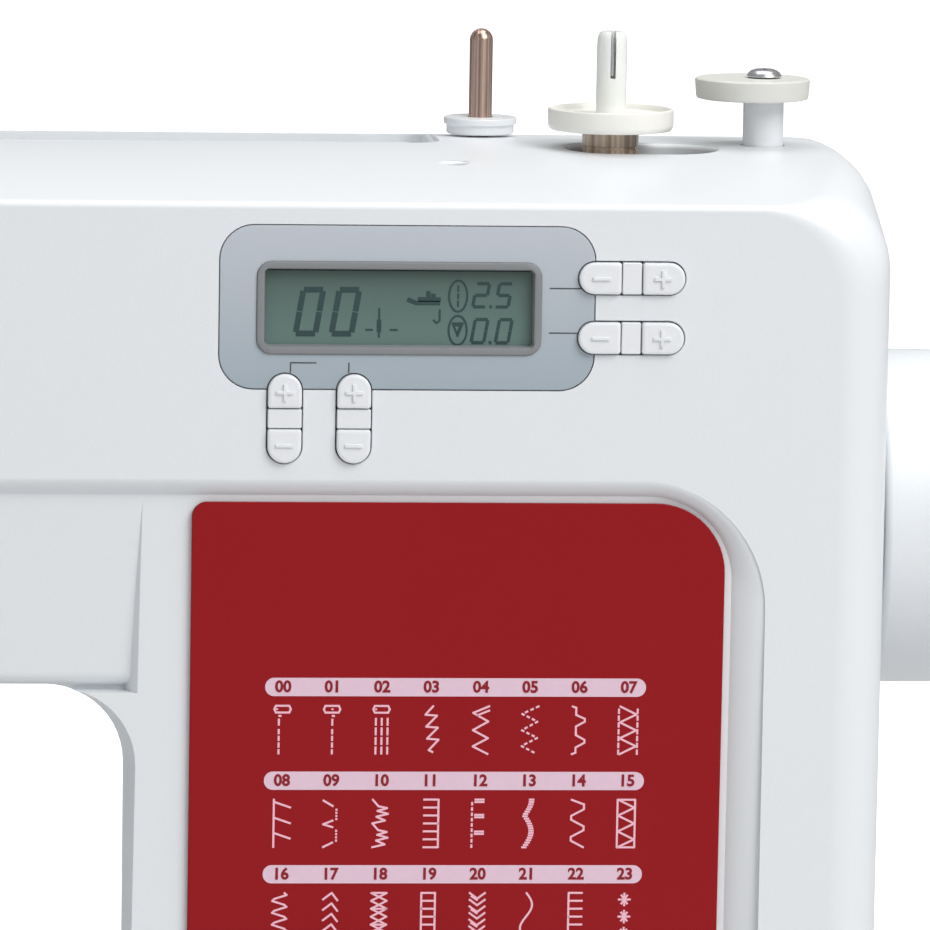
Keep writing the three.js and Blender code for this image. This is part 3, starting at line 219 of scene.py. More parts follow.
class Paint:
    """A material under construction, with its Principled shader."""

    def __init__(self, name, color, roughness, **uniform):
        self.material = bpy.data.materials.new(name)
        self.material.use_nodes = True
        self.tree = self.material.node_tree
        self.shader = self.tree.nodes["Principled BSDF"]
        self.set("Base Color", (*color, 1))
        self.set("Roughness", roughness)
        for socket, value in uniform.items():
            self.set(socket.replace("_", " "), value)
        coordinates = self.tree.nodes.new("ShaderNodeTexCoord")
        self.place = Value(self, coordinates.outputs["Object"])

    def set(self, socket, value):
        """A number is typed into the shader's socket, and a Value is linked to it."""
        if isinstance(value, Value):
            self.tree.links.new(value.socket, self.shader.inputs[socket])
        else:
            self.shader.inputs[socket].default_value = value

    def node(self, kind, settings, inputs, output=0):
        node = self.tree.nodes.new(kind)
        for key, value in settings.items():
            setattr(node, key, value)
        for key, value in inputs.items():
            if isinstance(value, Value):
                self.tree.links.new(value.socket, node.inputs[key])
            else:
                node.inputs[key].default_value = value
        return Value(self, node.outputs[output])

    def noise(self, scale, detail=3, stretch=(1, 1, 1)):
        at = self.node("ShaderNodeMapping", {}, {"Vector": self.place, "Scale": stretch})
        return self.node("ShaderNodeTexNoise", {}, {"Vector": at, "Scale": scale, "Detail": detail})

    def rise(self, low, high):
        """0 at one height and 1 at another."""
        height = self.node("ShaderNodeSeparateXYZ", {}, {0: self.place}, output=2)
        return self.node("ShaderNodeMapRange", {}, {"Value": height, "From Min": low, "From Max": high})

    def blend(self, amount, first, second):
        """A colour between two others."""
        wired = {"data_type": "RGBA"}
        return self.node("ShaderNodeMix", wired, {0: amount, 6: first, 7: second}, output=2)

    def bump(self, height, distance):
        values = {"Height": height, "Distance": distance, "Strength": 1.0}
        self.set("Normal", self.node("ShaderNodeBump", {}, values))

    def tint(self, amount, first, second):
        """Base colour that drifts between two tones."""
        self.set("Base Color", self.blend(amount, (*first, 1), (*second, 1)))
        return self


# %% [markdown]
# ## The finishes
#
# Injection-moulded plastic is never one flat colour: its gloss drifts where the melt cooled at different
# speeds, and the tool leaves a texture of a few hundredths of a millimetre. Both are small, and
# both are there. Metals get fine turning or grinding marks instead.


# %% Moulded plastics
def moulded(name, color, roughness, grain=0.00003, drift=0.03, **uniform):
    """Plastic with a faint tool texture and a slow drift of tone and gloss."""
    paint = Paint(name, color, roughness, **uniform)
    cloud = paint.noise(9, 2)
    fine = paint.noise(2600, 2)
    paint.tint(cloud, tuple(c * (1 - drift) for c in color),
               tuple(min(1, c * (1 + drift)) for c in color))
    paint.set("Roughness", roughness + 0.10 * (cloud - 0.5) + 0.05 * (fine - 0.5))
    paint.bump(fine, grain)
    return paint


def printed(name, scale, first, second, roughness=0.45, specular=0.3):
    """Ink, a little uneven."""
    paint = Paint(name, first, roughness, Specular_IOR_Level=specular)
    return paint.tint(paint.noise(scale, 2), first, second)


def streaked(paint, streaks, first, second):
    """Streaks with sharp sides between two tones."""
    share = paint.node("ShaderNodeMapRange", {}, {"Value": streaks, "From Min": 0.35, "From Max": 0.65})
    paint.tint(share, first, second)


white = moulded("white_casing", (0.775, 0.805, 0.832), 0.34, drift=0.012, Coat_Weight=0.15,
                Coat_Roughness=0.2)
white_part = moulded("white_small_parts", (0.80, 0.82, 0.845), 0.28, drift=0.01, Coat_Weight=0.2)
print("materials", len(bpy.data.materials))

# %% [markdown]
# ## Outlines and rings
#
# The covers are soft tapering shells, which no primitive comes close to. They are built the way a
# surface modeller builds them: a closed outline with filleted corners is drawn at each depth. The first
# one is a filled circle whose points are moved onto the outline, and each further ring is an extrusion
# of the last, moved onto the next outline. Since both ends stay filled, the result is always a solid.


# %% Outlines
def fillet(corners, steps=8):
    """A closed outline through corners (u, v, radius), each radius an arc of `steps` chords."""
    points = []
    for i, (u, v, radius) in enumerate(corners):
        corner = Vector((u, v))
        if not radius:
            points.append(corner)
            continue
        before = (Vector(corners[i - 1][:2]) - corner).normalized()
        after = (Vector(corners[(i + 1) % len(corners)][:2]) - corner).normalized()
        half = before.angle(after) / 2
        centre = corner + (before + after).normalized() * radius / math.sin(half)
        start = corner + before * radius / math.tan(half) - centre
        turn = 1 if before.x * after.y - before.y * after.x < 0 else -1
        for k in range(steps + 1):
            points.append(centre + Matrix.Rotation(turn * (math.pi - 2 * half) * k / steps, 2) @ start)
    return points


def rectangle(u0, v0, u1, v1, radius, grow=0.0, steps=8):
    """A rectangle with round corners, grown or shrunk all round."""
    u0, v0, u1, v1, radius = u0 - grow, v0 - grow, u1 + grow, v1 + grow, max(radius + grow, 0.02)
    return fillet([(u0, v0, radius), (u1, v0, radius), (u1, v1, radius), (u0, v1, radius)], steps)


def circle(u, v, radius, sides=48):
    turns = [math.tau * k / sides for k in range(sides)]
    return [Vector((u + radius * math.cos(a), v + radius * math.sin(a))) for a in turns]


def framed(spec, grow=0.0, steps=8, radius=None):
    """The rectangle of a dictionary of limits x0, x1, z0, z1 and a radius r."""
    return rectangle(spec["x0"], spec["z0"], spec["x1"], spec["z1"], radius or spec["r"], grow, steps)


def front(points, y):
    return [(p[0], y, p[1]) for p in points]


def top(points, z):
    return [(p[0], p[1], z) for p in points]


def side(points, x):
    return [(x, p[0], p[1]) for p in points]


def rounding(depth, radius):
    """How far a rounded edge stands back at a depth behind the face."""
    return radius - math.sqrt(radius**2 - (radius - depth) ** 2) if depth < radius else 0.0


def round_steps(radius, count=6):
    """Depths that follow a quarter round closely, from its face to where it ends."""
    return [radius * (1 - math.cos(math.pi / 2 * k / count)) for k in range(count + 1)]


# %% Hand tools
def only(piece):
    bpy.ops.object.select_all(action="DESELECT")
    piece.select_set(True)
    bpy.context.view_layer.objects.active = piece
    return piece


def ring_solid(name, rings):
    """A closed solid through rings of points in millimetres, all with the same number of points."""
    bpy.ops.object.select_all(action="DESELECT")
    count = len(rings[0])
    bpy.ops.mesh.primitive_circle_add(vertices=count, radius=1, fill_type="NGON")
    piece = bpy.context.object
    piece.name = name
    bpy.ops.object.mode_set(mode="EDIT")
    bpy.ops.mesh.select_all(action="SELECT")
    for i, ring in enumerate(rings):
        if i:
            bpy.ops.mesh.extrude_region()
        mesh = bmesh.from_edit_mesh(piece.data)
        for vertex, point in zip(list(mesh.verts)[-count:], ring):
            vertex.co = Vector(point) * MM
    bpy.ops.mesh.select_all(action="SELECT")
    bpy.ops.mesh.normals_make_consistent(inside=False)
    bpy.ops.object.mode_set(mode="OBJECT")
    return piece


def block(name, x0, x1, y0, y1, z0, z1, edge=0.0, segments=3):
    """A box between two corners in millimetres, with its edges rounded by a bevel."""
    bpy.ops.object.select_all(action="DESELECT")
    middle = Vector((x0 + x1, y0 + y1, z0 + z1)) / 2 * MM
    size = Vector((x1 - x0, y1 - y0, z1 - z0)) * MM
    bpy.ops.mesh.primitive_cube_add(size=1, location=middle, scale=size)
    piece = bpy.context.object
    piece.name = name
    bpy.ops.object.transform_apply(location=True, rotation=True, scale=True)
    if edge:
        bpy.ops.object.mode_set(mode="EDIT")
        bpy.ops.mesh.select_all(action="SELECT")
        bpy.ops.mesh.bevel(offset=edge * MM, segments=segments, affect="EDGES")
        bpy.ops.object.mode_set(mode="OBJECT")
    return piece


def turned(name, profile, u, v, axis="z", sides=48):
    """A solid of revolution about a line along one axis, from a profile of (radius, place) pairs."""
    lay = {"x": side, "y": front, "z": top}[axis]
    return ring_solid(name, [lay(circle(u, v, radius, sides), place) for radius, place in profile])


def through(name, outline, y0, y1, lay=front):
    """A straight solid with one section, seen from the front unless told otherwise."""
    return ring_solid(name, [lay(outline, y0), lay(outline, y1)])


def combine(piece, tools, operation="DIFFERENCE"):
    """Cuts or joins a piece with closed tools, which are used up."""
    only(piece)
    for tool in tools:
        modifier = piece.modifiers.new("tool", "BOOLEAN")
        modifier.operation, modifier.solver, modifier.object = operation, "MANIFOLD", tool
        bpy.ops.object.modifier_apply(modifier=modifier.name)
        bpy.data.objects.remove(tool)
    return piece


def bored(piece, radius, start, end, u, v, axis="z", sides=48):
    return combine(piece, [turned("bore", [(radius, start), (radius, end)], u, v, axis, sides)])


def about(radius, place, *offsets):
    """Points of a turned profile, as offsets from an edge at a radius and a place."""
    return [(radius + out, place + on) for out, on in offsets]


def gather(name, parts):
    """Several loose meshes as one piece."""
    bpy.ops.object.select_all(action="DESELECT")
    for part in parts:
        part.select_set(True)
    bpy.context.view_layer.objects.active = parts[0]
    if len(parts) > 1:
        bpy.ops.object.join()
    parts[0].name = name
    return parts[0]


def refined(node, edge):
    """A copy of a CAD node with merged points and its hard edges rounded."""
    piece = nodes[node].copy()
    piece.data = piece.data.copy()
    piece.name = node + "_finished"
    piece.parent = None
    bpy.context.collection.objects.link(piece)
    for key in list(piece.keys()):
        if key.startswith("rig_"):
            del piece[key]
    only(piece)
    bpy.ops.object.mode_set(mode="EDIT")
    bpy.ops.mesh.select_all(action="SELECT")
    bpy.ops.mesh.remove_doubles(threshold=0.000001)
    bpy.ops.mesh.dissolve_limited(angle_limit=math.radians(1))
    bpy.ops.object.mode_set(mode="OBJECT")
    modifier = piece.modifiers.new("edge", "BEVEL")
    modifier.width, modifier.segments, modifier.angle_limit = edge * MM, 2, math.radians(25)
    bpy.ops.object.modifier_apply(modifier=modifier.name)
    return piece


def fit(piece, material, slot, body, *stands_for, angle=32):
    """Smooths a finished piece, gives it its finish, and fixes it to its body of the frame."""
    only(piece)
    bpy.ops.object.shade_smooth_by_angle(angle=math.radians(angle))
    modifier = piece.modifiers.new("normals", "WEIGHTED_NORMAL")
    modifier.keep_sharp = True
    bpy.ops.object.modifier_apply(modifier=modifier.name)
    piece.data.materials.clear()
    piece.data.materials.append(material.material)
    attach(piece, body)
    if stands_for:
        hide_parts(*stands_for)
    print(f"{piece.name}: {len(piece.data.polygons)} faces on {body}")
    return piece


# %% [markdown]
# ## The C-shaped shell
#
# One outline serves the front cover and the rear cover: head on the left, arm across the top, column on
# the right, open below where the column stands over the base. At each depth the outline is drawn in by
# the rounding of its edges, 12 mm on the right side and barely 1 mm along the top, which is what gives
# the front its crisp bright upper edge. The top rises and falls with a gentle crown from front to back.


# %% Shell outline
# Roundings of the front and rear edges, the upper right corner that tightens behind the face, and the
# corners of the throat.
EDGE = {"side": 12, "column": 10, "head": 8, "under": 4, "arm": 2.8, "top": 1.2}
CORNER = {"face": 18, "inside": 8, "over": 40}
THROAT_R = {"head": 4, "arm": 8, "column": 16}
DRAFT_START = 10           # depth at which the throat's sides begin to widen
SIDE_SHARE = 0.92          # the right side stands back a little less than a full quarter round


def crown(y):
    return CROWN_Z - (CROWN_Z - TOP_EDGE_Z) * ((y - CROWN_Y) / (FRONT_Y - CROWN_Y)) ** 2


def body_ring(y, inset=0.0):
    depth = min(y - FRONT_Y, REAR_Y - y)
    corner = CORNER["face"] + (CORNER["inside"] - CORNER["face"]) * min(1, depth / CORNER["over"])
    draft = THROAT_DRAFT * max(0, y - FRONT_Y - DRAFT_START)
    right = BODY_RIGHT - SIDE_SHARE * rounding(depth, EDGE["side"]) - inset
    left = BODY_LEFT - (5 if inset else 0)
    bottom = SHELL_BOTTOM - (5 if inset else 0)
    roof = crown(y) - rounding(depth, EDGE["top"]) - inset
    head = THROAT_LEFT - rounding(depth, EDGE["head"]) - draft - inset
    column = THROAT_RIGHT + rounding(depth, EDGE["column"]) + draft + inset
    under = HEAD_UNDER + rounding(depth, EDGE["under"]) + inset
    arm = ARM_UNDER + rounding(depth, EDGE["arm"]) + inset
    corners = [(left, under, 0), (head, under, THROAT_R["head"]), (head, arm, THROAT_R["arm"])]
    corners.append((column, arm, THROAT_R["column"] + inset))
    corners += [(column, bottom, 0), (right, bottom, 0), (right, roof, corner - inset), (left, roof, 0)]
    return front(fillet(corners, 12), y)


EDGE_DEPTHS = round_steps(EDGE["top"], 5)[:-1] + [1.2, 1.9, 2.8, 3.6, 4.8, 6, 7.2, 8.6, 10, 12]
ALONG_DEPTH = [-30, -21, -12, -3, 6, 15, 24, 33, 42, 51]
front_planes = [FRONT_Y + d for d in EDGE_DEPTHS] + ALONG_DEPTH + [SPLIT_Y]
casing = ring_solid("front_casing", [body_ring(y) for y in front_planes])
print("casing:", len(front_planes), "rings of", len(body_ring(0)), "points")

# %% [markdown]
# The shell is hollow, because needle bar, take-up lever and drive work inside it. An inner solid is
# lofted from the same outline, drawn in by the wall. It leaves thicker material behind the sunk panel
# and round the handle's well, and then it is cut away.

# %% Hollow
WELL = {"x0": -62, "x1": 90, "y0": 17, "y1": 56, "floor": 268}
RECESS = {"x0": THROAT_LEFT - 5, "x1": 152, "z0": DECK_Z + 4, "z1": 226.7, "r": 26, "depth": 2.6}
STEP = {"left": 3, "right": 6.5, "bottom": 2, "top": 3.6, "corner": 4}      # widths of the field's border
inner_planes = [FRONT_Y + WALL, FRONT_Y + 6, FRONT_Y + 12] + ALONG_DEPTH[1:] + [SPLIT_Y + 1]
hollow = ring_solid("hollow", [body_ring(y, WALL) for y in inner_planes])
thick_panel = block("thick_panel", RECESS["x0"] - 6, RECESS["x1"] + 4, FRONT_Y - 1, FRONT_Y + 8.5,
                    DECK_Z - 9, RECESS["z1"] + 3)
thick_well = block("thick_well", WELL["x0"] - 2, WELL["x1"] + 2, WELL["y0"] - 2, WELL["y1"] + 2,
                   WELL["floor"] - 2, CROWN_Z + 4)
combine(hollow, [thick_panel, thick_well])
combine(casing, [hollow])
print("hollow cut,", len(casing.data.polygons), "faces")

# %% [markdown]
# ## The sunk field and the leaning arm
#
# The stitch panel lies in a shallow field with a soft step round it, a little wider on the right than
# above. The step grows ever steeper towards the floor: the cutter's rings sink faster and faster while
# they draw in. Under the display the arm's lower front leans back, between two posts that stay upright.


# %% Sunk field
def field_ring(share):
    """The sunk field's outline at a share of its border's width, ever steeper towards the floor."""
    depth = RECESS["depth"] * share ** 1.7
    x0, x1 = RECESS["x0"] + STEP["left"] * share, RECESS["x1"] - STEP["right"] * share
    z0, z1 = RECESS["z0"] + STEP["bottom"] * share, RECESS["z1"] - STEP["top"] * share
    small, large = STEP["corner"], RECESS["r"] - 9 * share
    outline = fillet([(x0, z0, small), (x1, z0, small), (x1, z1, large), (x0, z1, small)], 14)
    tilt = Matrix.Rotation(math.radians(1), 4, "X")
    pivot = Vector((0, FRONT_Y, RECESS["z1"]))
    return [pivot + tilt @ (Vector(p) - pivot) for p in front(outline, FRONT_Y + depth)]


proud = [Vector(p) + Vector((0, -4, 0)) for p in field_ring(0)]
field = ring_solid("field", [proud] + [field_ring(k / 10) for k in range(11)])

LEAN_TOP, LEAN_DEPTH, LIP = RECESS["z1"] - STEP["top"], 5.3, 3.0
lean_profile = [(FRONT_Y - 4, LEAN_TOP), (FRONT_Y + RECESS["depth"], LEAN_TOP)]
lean_profile += [(FRONT_Y + LEAN_DEPTH + rounding(d, LIP), ARM_UNDER + d)
                 for d in reversed(round_steps(LIP, 6))]
lean_profile += [(FRONT_Y + LEAN_DEPTH + LIP, ARM_UNDER - 1), (FRONT_Y - 4, ARM_UNDER - 1)]
lean = ring_solid("lean", [side(lean_profile, THROAT_LEFT - 9), side(lean_profile, THROAT_RIGHT + 11)])
for name, x, way, radius in (("column", THROAT_RIGHT, 1, EDGE["column"]),
                             ("head", THROAT_LEFT, -1, EDGE["head"])):
    far = x + way * 60
    outline = fillet([(x, REAR_Y, 0), (x, FRONT_Y, radius), (far, FRONT_Y, 0), (far, REAR_Y, 0)], 12)
    combine(lean, [through(name + "_post", outline, HEAD_UNDER, CROWN_Z, top)])
combine(casing, [field, lean])
print("field and lean cut,", len(casing.data.polygons), "faces")

# %% [markdown]
# ## Openings in the front
#
# Each opening is cut with a flared tool, so that its mouth has the small radius that a mould leaves.
# The flare is a quarter round in four steps. The display plate lies in a bed of its own depth, and each
# pair of buttons comes through one capsule-shaped hole.

# %% Openings in the front
DISPLAY = {"x0": 42.6, "x1": 117, "z0": 244.4, "z1": 277.2, "r": 7, "thick": 1.2}
BEZEL = {"x0": 50.1, "x1": 106.3, "z0": 251.5, "z1": 269.9, "r": 3}
PAIRS = {
    "stitch_length": {"x": 124.1, "z": 266.95, "length": 21, "width": 6.3, "along": "x"},
    "stitch_width": {"x": 124.1, "z": 255.1, "length": 21, "width": 6.3, "along": "x"},
    "pattern_tens": {"x": 55.85, "z": 238.75, "length": 17.7, "width": 6.7, "along": "z"},
    "pattern_units": {"x": 69.5, "z": 238.75, "length": 17.7, "width": 6.7, "along": "z"},
}
HEAD_BUTTONS = {"reverse_button": -158, "needle_position_button": -134}
HEAD_BUTTON_Z, HEAD_BUTTON_R = 157, 6.5
THREAD_SLOTS = [{"x0": x - 1.9, "x1": x + 1.9, "z0": 192, "z1": 277.5, "r": 1.8} for x in (-160, -134)]
SLIDER_SLOT = {"x0": -166, "x1": -126, "z0": 173.8, "z1": 178.2, "r": 0.5}
DIAL = {"x": -116, "y": FRONT_Y + 11, "z": 255, "r": 15}
DIAL_SLOT = {"x0": DIAL["x"] - 6.1, "x1": DIAL["x"] + 6.1, "z0": 241.9, "z1": 268.1, "r": 0.6}


def mouth(name, outline, lip, depth=9.0):
    """A cutter through the front wall; outline(grow) gives its section, flared by the lip at the face."""
    rings = [front(outline(lip), FRONT_Y - 2)]
    rings += [front(outline(rounding(d, lip)), FRONT_Y + d) for d in round_steps(lip, 4)]
    return ring_solid(name, rings + [front(outline(0), FRONT_Y + depth)])


def capsule(pair, grow=0.0):
    half = (pair["length"] / 2, pair["width"] / 2)
    du, dv = half if pair["along"] == "x" else half[::-1]
    return rectangle(pair["x"] - du, pair["z"] - dv, pair["x"] + du, pair["z"] + dv, min(half) - 0.05,
                     grow, 12)


tools = [through("bed", framed(DISPLAY, steps=12), FRONT_Y - 2, FRONT_Y + DISPLAY["thick"] + GAP)]
tools.append(mouth("screen_hole", lambda g: framed(BEZEL, g + GAP), 0.1))
for name, pair in PAIRS.items():
    tools.append(mouth(name + "_hole", lambda g, pair=pair: capsule(pair, 0.25 + g), 0.25))
for spec, lip in [(slot, 0.8) for slot in THREAD_SLOTS] + [(DIAL_SLOT, 0.5), (SLIDER_SLOT, 0.4)]:
    tools.append(mouth("slot", lambda g, spec=spec: framed(spec, g), lip))
for x in HEAD_BUTTONS.values():
    hole = lambda g, x=x: circle(x, HEAD_BUTTON_Z, HEAD_BUTTON_R + GAP + g)
    tools.append(mouth("head_button_hole", hole, 0.5))
combine(casing, tools)
print("front openings cut,", len(casing.data.polygons), "faces")

# %% [markdown]
# ## Openings in the top and under the head
#
# The top takes the handle's well, the long slot in which the bobbin winder slides, a small guide hole
# and the bores of the spool pin and of the winder stop. Under the head are the openings for the needle
# and presser bars and for the lifter lever, and on the right the bore of the hand wheel's shaft.

# %% Openings in the top
WINDER = {"x": 125.3, "y": 9.3, "slot_r": 9.2, "slot_end": 138}
STOP = {"x": 155.3, "post_x": 157.7, "y": 17, "r": 11.9, "post_r": 4.2, "z0": 296.9, "z1": 301.2}
SPOOL = {"x": 100.8, "y": 37}
GUIDE_HOLE = {"x": 91.6, "y": -13, "r": 2.5}


def top_mouth(name, outline, lip, y, depth=9.0):
    """As mouth(), through the crowned top at depth y."""
    z = crown(y)
    rings = [top(outline(lip), z + 2)]
    rings += [top(outline(rounding(d, lip)), z - d) for d in round_steps(lip, 4)]
    return ring_solid(name, rings + [top(outline(0), z - depth)])


def winder_slot(grow):
    r = WINDER["slot_r"]
    return rectangle(WINDER["x"] - r, WINDER["y"] - r, WINDER["slot_end"] + r, WINDER["y"] + r,
                     r - 0.05, grow, 16)


def well_outline(grow):
    return rectangle(WELL["x0"], WELL["y0"], WELL["x1"], WELL["y1"], 5, grow - 0.01)


combine(casing, [
    ring_solid("well", [top(well_outline(1.2), CROWN_Z + 2)]
               + [top(well_outline(rounding(d, 1.2)), CROWN_Z - 1.2 - d) for d in round_steps(1.2, 4)]
               + [top(well_outline(0), WELL["floor"])]),
    top_mouth("winder_hole", winder_slot, 1.0, WINDER["y"]),
    top_mouth("guide_hole", lambda g: circle(GUIDE_HOLE["x"], GUIDE_HOLE["y"], GUIDE_HOLE["r"] + g, 32),
              0.7, GUIDE_HOLE["y"]),
    turned("spool_bore", [(2.7, CROWN_Z - 8), (2.7, CROWN_Z + 2)], SPOOL["x"], SPOOL["y"]),
    turned("stop_seat", [(4.6, crown(STOP["y"]) - 1.3), (4.6, CROWN_Z + 2)], STOP["post_x"], STOP["y"]),
    turned("handle_bore", [(3.4, WELL["x0"] - 3), (3.4, WELL["x1"] + 3)], HANDLE_PIN["y"],
           HANDLE_PIN["z"], "x"),
    block("needle_opening", -157, -129, -2, 31, HEAD_UNDER - 2, HEAD_UNDER + WALL + 2),
    block("lifter_notch", -129, THROAT_LEFT + 3, 35, 53, HEAD_UNDER - 2, 173),
    turned("shaft_bore", [(9, BODY_RIGHT - 8), (9, BODY_RIGHT + 3)], SHAFT["y"], SHAFT["z"], "x"),
])
fit(casing, white, "white_casing", "machine_body", "front_cover")

# %% [markdown]
# ## The display
#
# A satin grey plate lies in its bed, a hair below the face. It is an outline extruded 1.2 mm, with the
# screen's opening and the buttons' holes cut through, so that a dark hairline shows all round. A darker
# frame with rounded edges stands round the window, and the liquid crystal lies 2 mm behind it.

# %% Display finishes
plate_tone = Paint("grey_display_plate", (0.4, 0.44, 0.48), 0.42, Specular_IOR_Level=0.35)
plate_tone.tint(plate_tone.rise(0.2444, 0.2772), (0.355, 0.42, 0.47), (0.52, 0.556, 0.61))
plate_tone.bump(plate_tone.noise(3000, 2), 0.00002)

frame_tone = moulded("grey_window_frame", (0.235, 0.245, 0.255), 0.4, Specular_IOR_Level=0.3)
crystal = Paint("liquid_crystal", (0.12, 0.19, 0.16), 0.3, Specular_IOR_Level=0.35)
# The cell turns darker towards its top: a painted shadow of the window frame above it.
crystal.tint(crystal.rise(0.253, 0.268), (0.135, 0.215, 0.195), (0.088, 0.135, 0.12))
crystal.set("Roughness", 0.26 + 0.06 * crystal.noise(400, 2))
segment_tone = printed("liquid_crystal_segments", 900, (0.031, 0.062, 0.064), (0.043, 0.078, 0.078),
                       0.35)
print_tone = printed("dark_print", 1500, (0.06, 0.07, 0.08), (0.085, 0.095, 0.105), 0.5, 0.5)

# %% Display pieces
plate_rings = [front(framed(DISPLAY, grow, 12), FRONT_Y + d)
               for grow, d in ((-0.45, 0.02), (-0.27, 0.07), (-0.2, 0.25), (-0.2, DISPLAY["thick"]))]
plate = ring_solid("display_plate_finished", plate_rings)
holes = [through("window", framed(BEZEL, 0.05, 10), FRONT_Y - 1, FRONT_Y + 2)]
for pair in PAIRS.values():
    holes.append(through("hole", capsule(pair, 0.25), FRONT_Y - 1, FRONT_Y + 2))
combine(plate, holes)
fit(plate, plate_tone, "grey_display", "machine_body", "display_plate")


def frame_ring(grow, depth):
    """The window frame's outline: a wider radius outside, nearly square at the window."""
    radius = 3.0 + grow if grow > -1.2 else 0.8
    return front(framed(BEZEL, grow, 10, radius - grow), FRONT_Y + depth)


rim = ring_solid("window_frame", [frame_ring(*at) for at in (
    (0, 2.6), (0, -0.2), (-0.1, -0.38), (-0.3, -0.5), (-1.15, -0.5), (-1.4, -0.38), (-1.6, 0.1),
    (-1.75, 1.7), (-1.75, 1.72))])
combine(rim, [through("window_cut", framed(BEZEL, -1.75, 10, 2.55), FRONT_Y + 1.2, FRONT_Y + 4)])
fit(rim, frame_tone, "grey_display", "machine_body")

screen = block("liquid_crystal_cell", 51.75, 104.65, FRONT_Y + 1.78, FRONT_Y + 4, 253, 268, 0.2)
fit(screen, crystal, "display_glass", "machine_body", "display_screen")

# %% [markdown]
# ## Printing
#
# Printed marks are strokes of even width, 0.05 mm thick, laid just over the surface. Each stroke is a
# thin box between two points, made a little longer than its line so that corners close. Figures on the
# display are the usual seven slanted bars, and every other mark is a generic pictogram.


# %% Strokes
def strokes(name, lines, width, depth_at):
    """Thin boxes along lines of (x, z) points in millimetres; depth_at(z) gives the surface's y.

    Neighbouring boxes differ a little in height, so that no two faces lie in one plane."""
    points, faces = [], []
    for count, line in enumerate(lines):
        for step, (a, b) in enumerate(zip(line, line[1:])):
            a, b = Vector(a), Vector(b)
            along = (b - a).normalized() * width * 0.3
            across = Vector((-along.y, along.x)) / 0.6
            front_lift = -0.04 - 0.003 * ((count + step) % 4)
            corners = (a - along - across, b + along - across, b + along + across, a - along + across)
            base = len(points)
            for lift in (front_lift, 0.01):
                points += [Vector((p.x, depth_at(p.y) + lift, p.y)) * MM for p in corners]
            quads = [(0, 1, 2, 3), (7, 6, 5, 4), (4, 5, 1, 0), (5, 6, 2, 1), (6, 7, 3, 2), (7, 4, 0, 3)]
            faces += [tuple(base + i for i in quad) for quad in quads]
    mesh = bpy.data.meshes.new(name)
    mesh.from_pydata(points, [], faces)
    piece = bpy.data.objects.new(name, mesh)
    bpy.context.collection.objects.link(piece)
    return piece


def lettering(name, words, height, depth_at, weight=0.0):
    """Numbers as one mesh; words is a list of (text, x, z) with the text's middle."""
    parts = []
    for text, x, z in words:
        bpy.ops.object.select_all(action="DESELECT")
        place = Vector((x, depth_at(z) - 0.04, z)) * MM
        bpy.ops.object.text_add(location=place, rotation=(math.pi / 2, 0, 0))
        letters = bpy.context.object
        letters.data.body, letters.data.size = text, height * 1.37 * MM
        letters.data.align_x, letters.data.align_y = "CENTER", "CENTER"
        letters.data.offset, letters.data.extrude = weight * MM, 0.03 * MM
        letters.data.resolution_u = 3
        bpy.ops.object.convert(target="MESH")
        bpy.ops.object.transform_apply(location=True, rotation=True, scale=True)
        parts.append(bpy.context.object)
    return gather(name, parts)


BARS = {"a": ((0.1, 1), (0.9, 1)), "b": ((1, 0.93), (1, 0.55)), "c": ((1, 0.45), (1, 0.07)),
        "d": ((0.1, 0), (0.9, 0)),
        "e": ((0, 0.45), (0, 0.07)), "f": ((0, 0.93), (0, 0.55)), "g": ((0.13, 0.5), (0.87, 0.5))}
DIGITS = {"0": "abcdef", "2": "abged", "5": "afgcd"}


def seven_segment(digit, x, z, width, height, slant=0.17):
    """The strokes of one slanted figure whose lower left corner is at (x, z)."""
    lines = []
    for bar in DIGITS[digit]:
        lines.append([(x + u * width + v * height * slant, z + v * height) for u, v in BARS[bar]])
    return lines


def oval(x, z, rx, rz, count=20):
    turns = [math.tau * k / count for k in range(count + 1)]
    return [(x + rx * math.cos(a), z + rz * math.sin(a)) for a in turns]


# %% Figures on the display
cell_y = lambda z: FRONT_Y + 1.78
big = seven_segment("0", 57.9, 255.4, 3.9, 8.7) + seven_segment("0", 65.0, 255.4, 3.9, 8.7)
big_figures = strokes("display_big_figures", big, 1.15, cell_y)
small = seven_segment("2", 92.8, 260.9, 2.5, 4.6) + seven_segment("5", 97.3, 260.9, 2.5, 4.6)
small += seven_segment("0", 92.6, 253.8, 2.5, 4.6) + seven_segment("0", 97.4, 253.8, 2.5, 4.6)
small += [[(96.3, 260.9), (96.4, 260.95)], [(96.3, 253.8), (96.4, 253.85)]]
small_figures = strokes("display_small_figures", small, 0.66, cell_y)
icons = [oval(89.9, 263.0, 1.8, 3.1), oval(89.9, 256.2, 1.8, 2.9)]
icons += [[(89.9, 265.0), (89.9, 264.0)], [(89.9, 263.4), (89.9, 262.6)],
          [(89.9, 262.0), (89.9, 261.0)]]
icons += [[(88.9, 257.6), (90.9, 257.6), (89.9, 255.1), (88.9, 257.6)],
          [(89.4, 257.2), (90.4, 257.2), (89.9, 255.8)]]
icons += [[(71.8, 256.2), (73.0, 256.2)], [(76.6, 256.2), (77.9, 256.2)]]
icons += [[(74.35, 260.4), (74.35, 258.2)], [(74.35, 255.6), (74.35, 254.8)]]
icons += [[(86.3, 260.2), (86.3, 258.1), (85.7, 257.6), (85.1, 258.2)]]
icon_marks = strokes("display_icons", icons, 0.42, cell_y)
shoe = [[(80.1, 262.2), (81.6, 261.6), (86.1, 261.6)], [(82.2, 262.3), (86.2, 262.3)],
        [(84.0, 262.7), (84.0, 263.7)],
        [(85.0, 262.7), (85.0, 263.2)], [(74.35, 258.0), (74.35, 256.0)]]
shoe_mark = strokes("display_foot_icon", shoe, 0.9, cell_y)
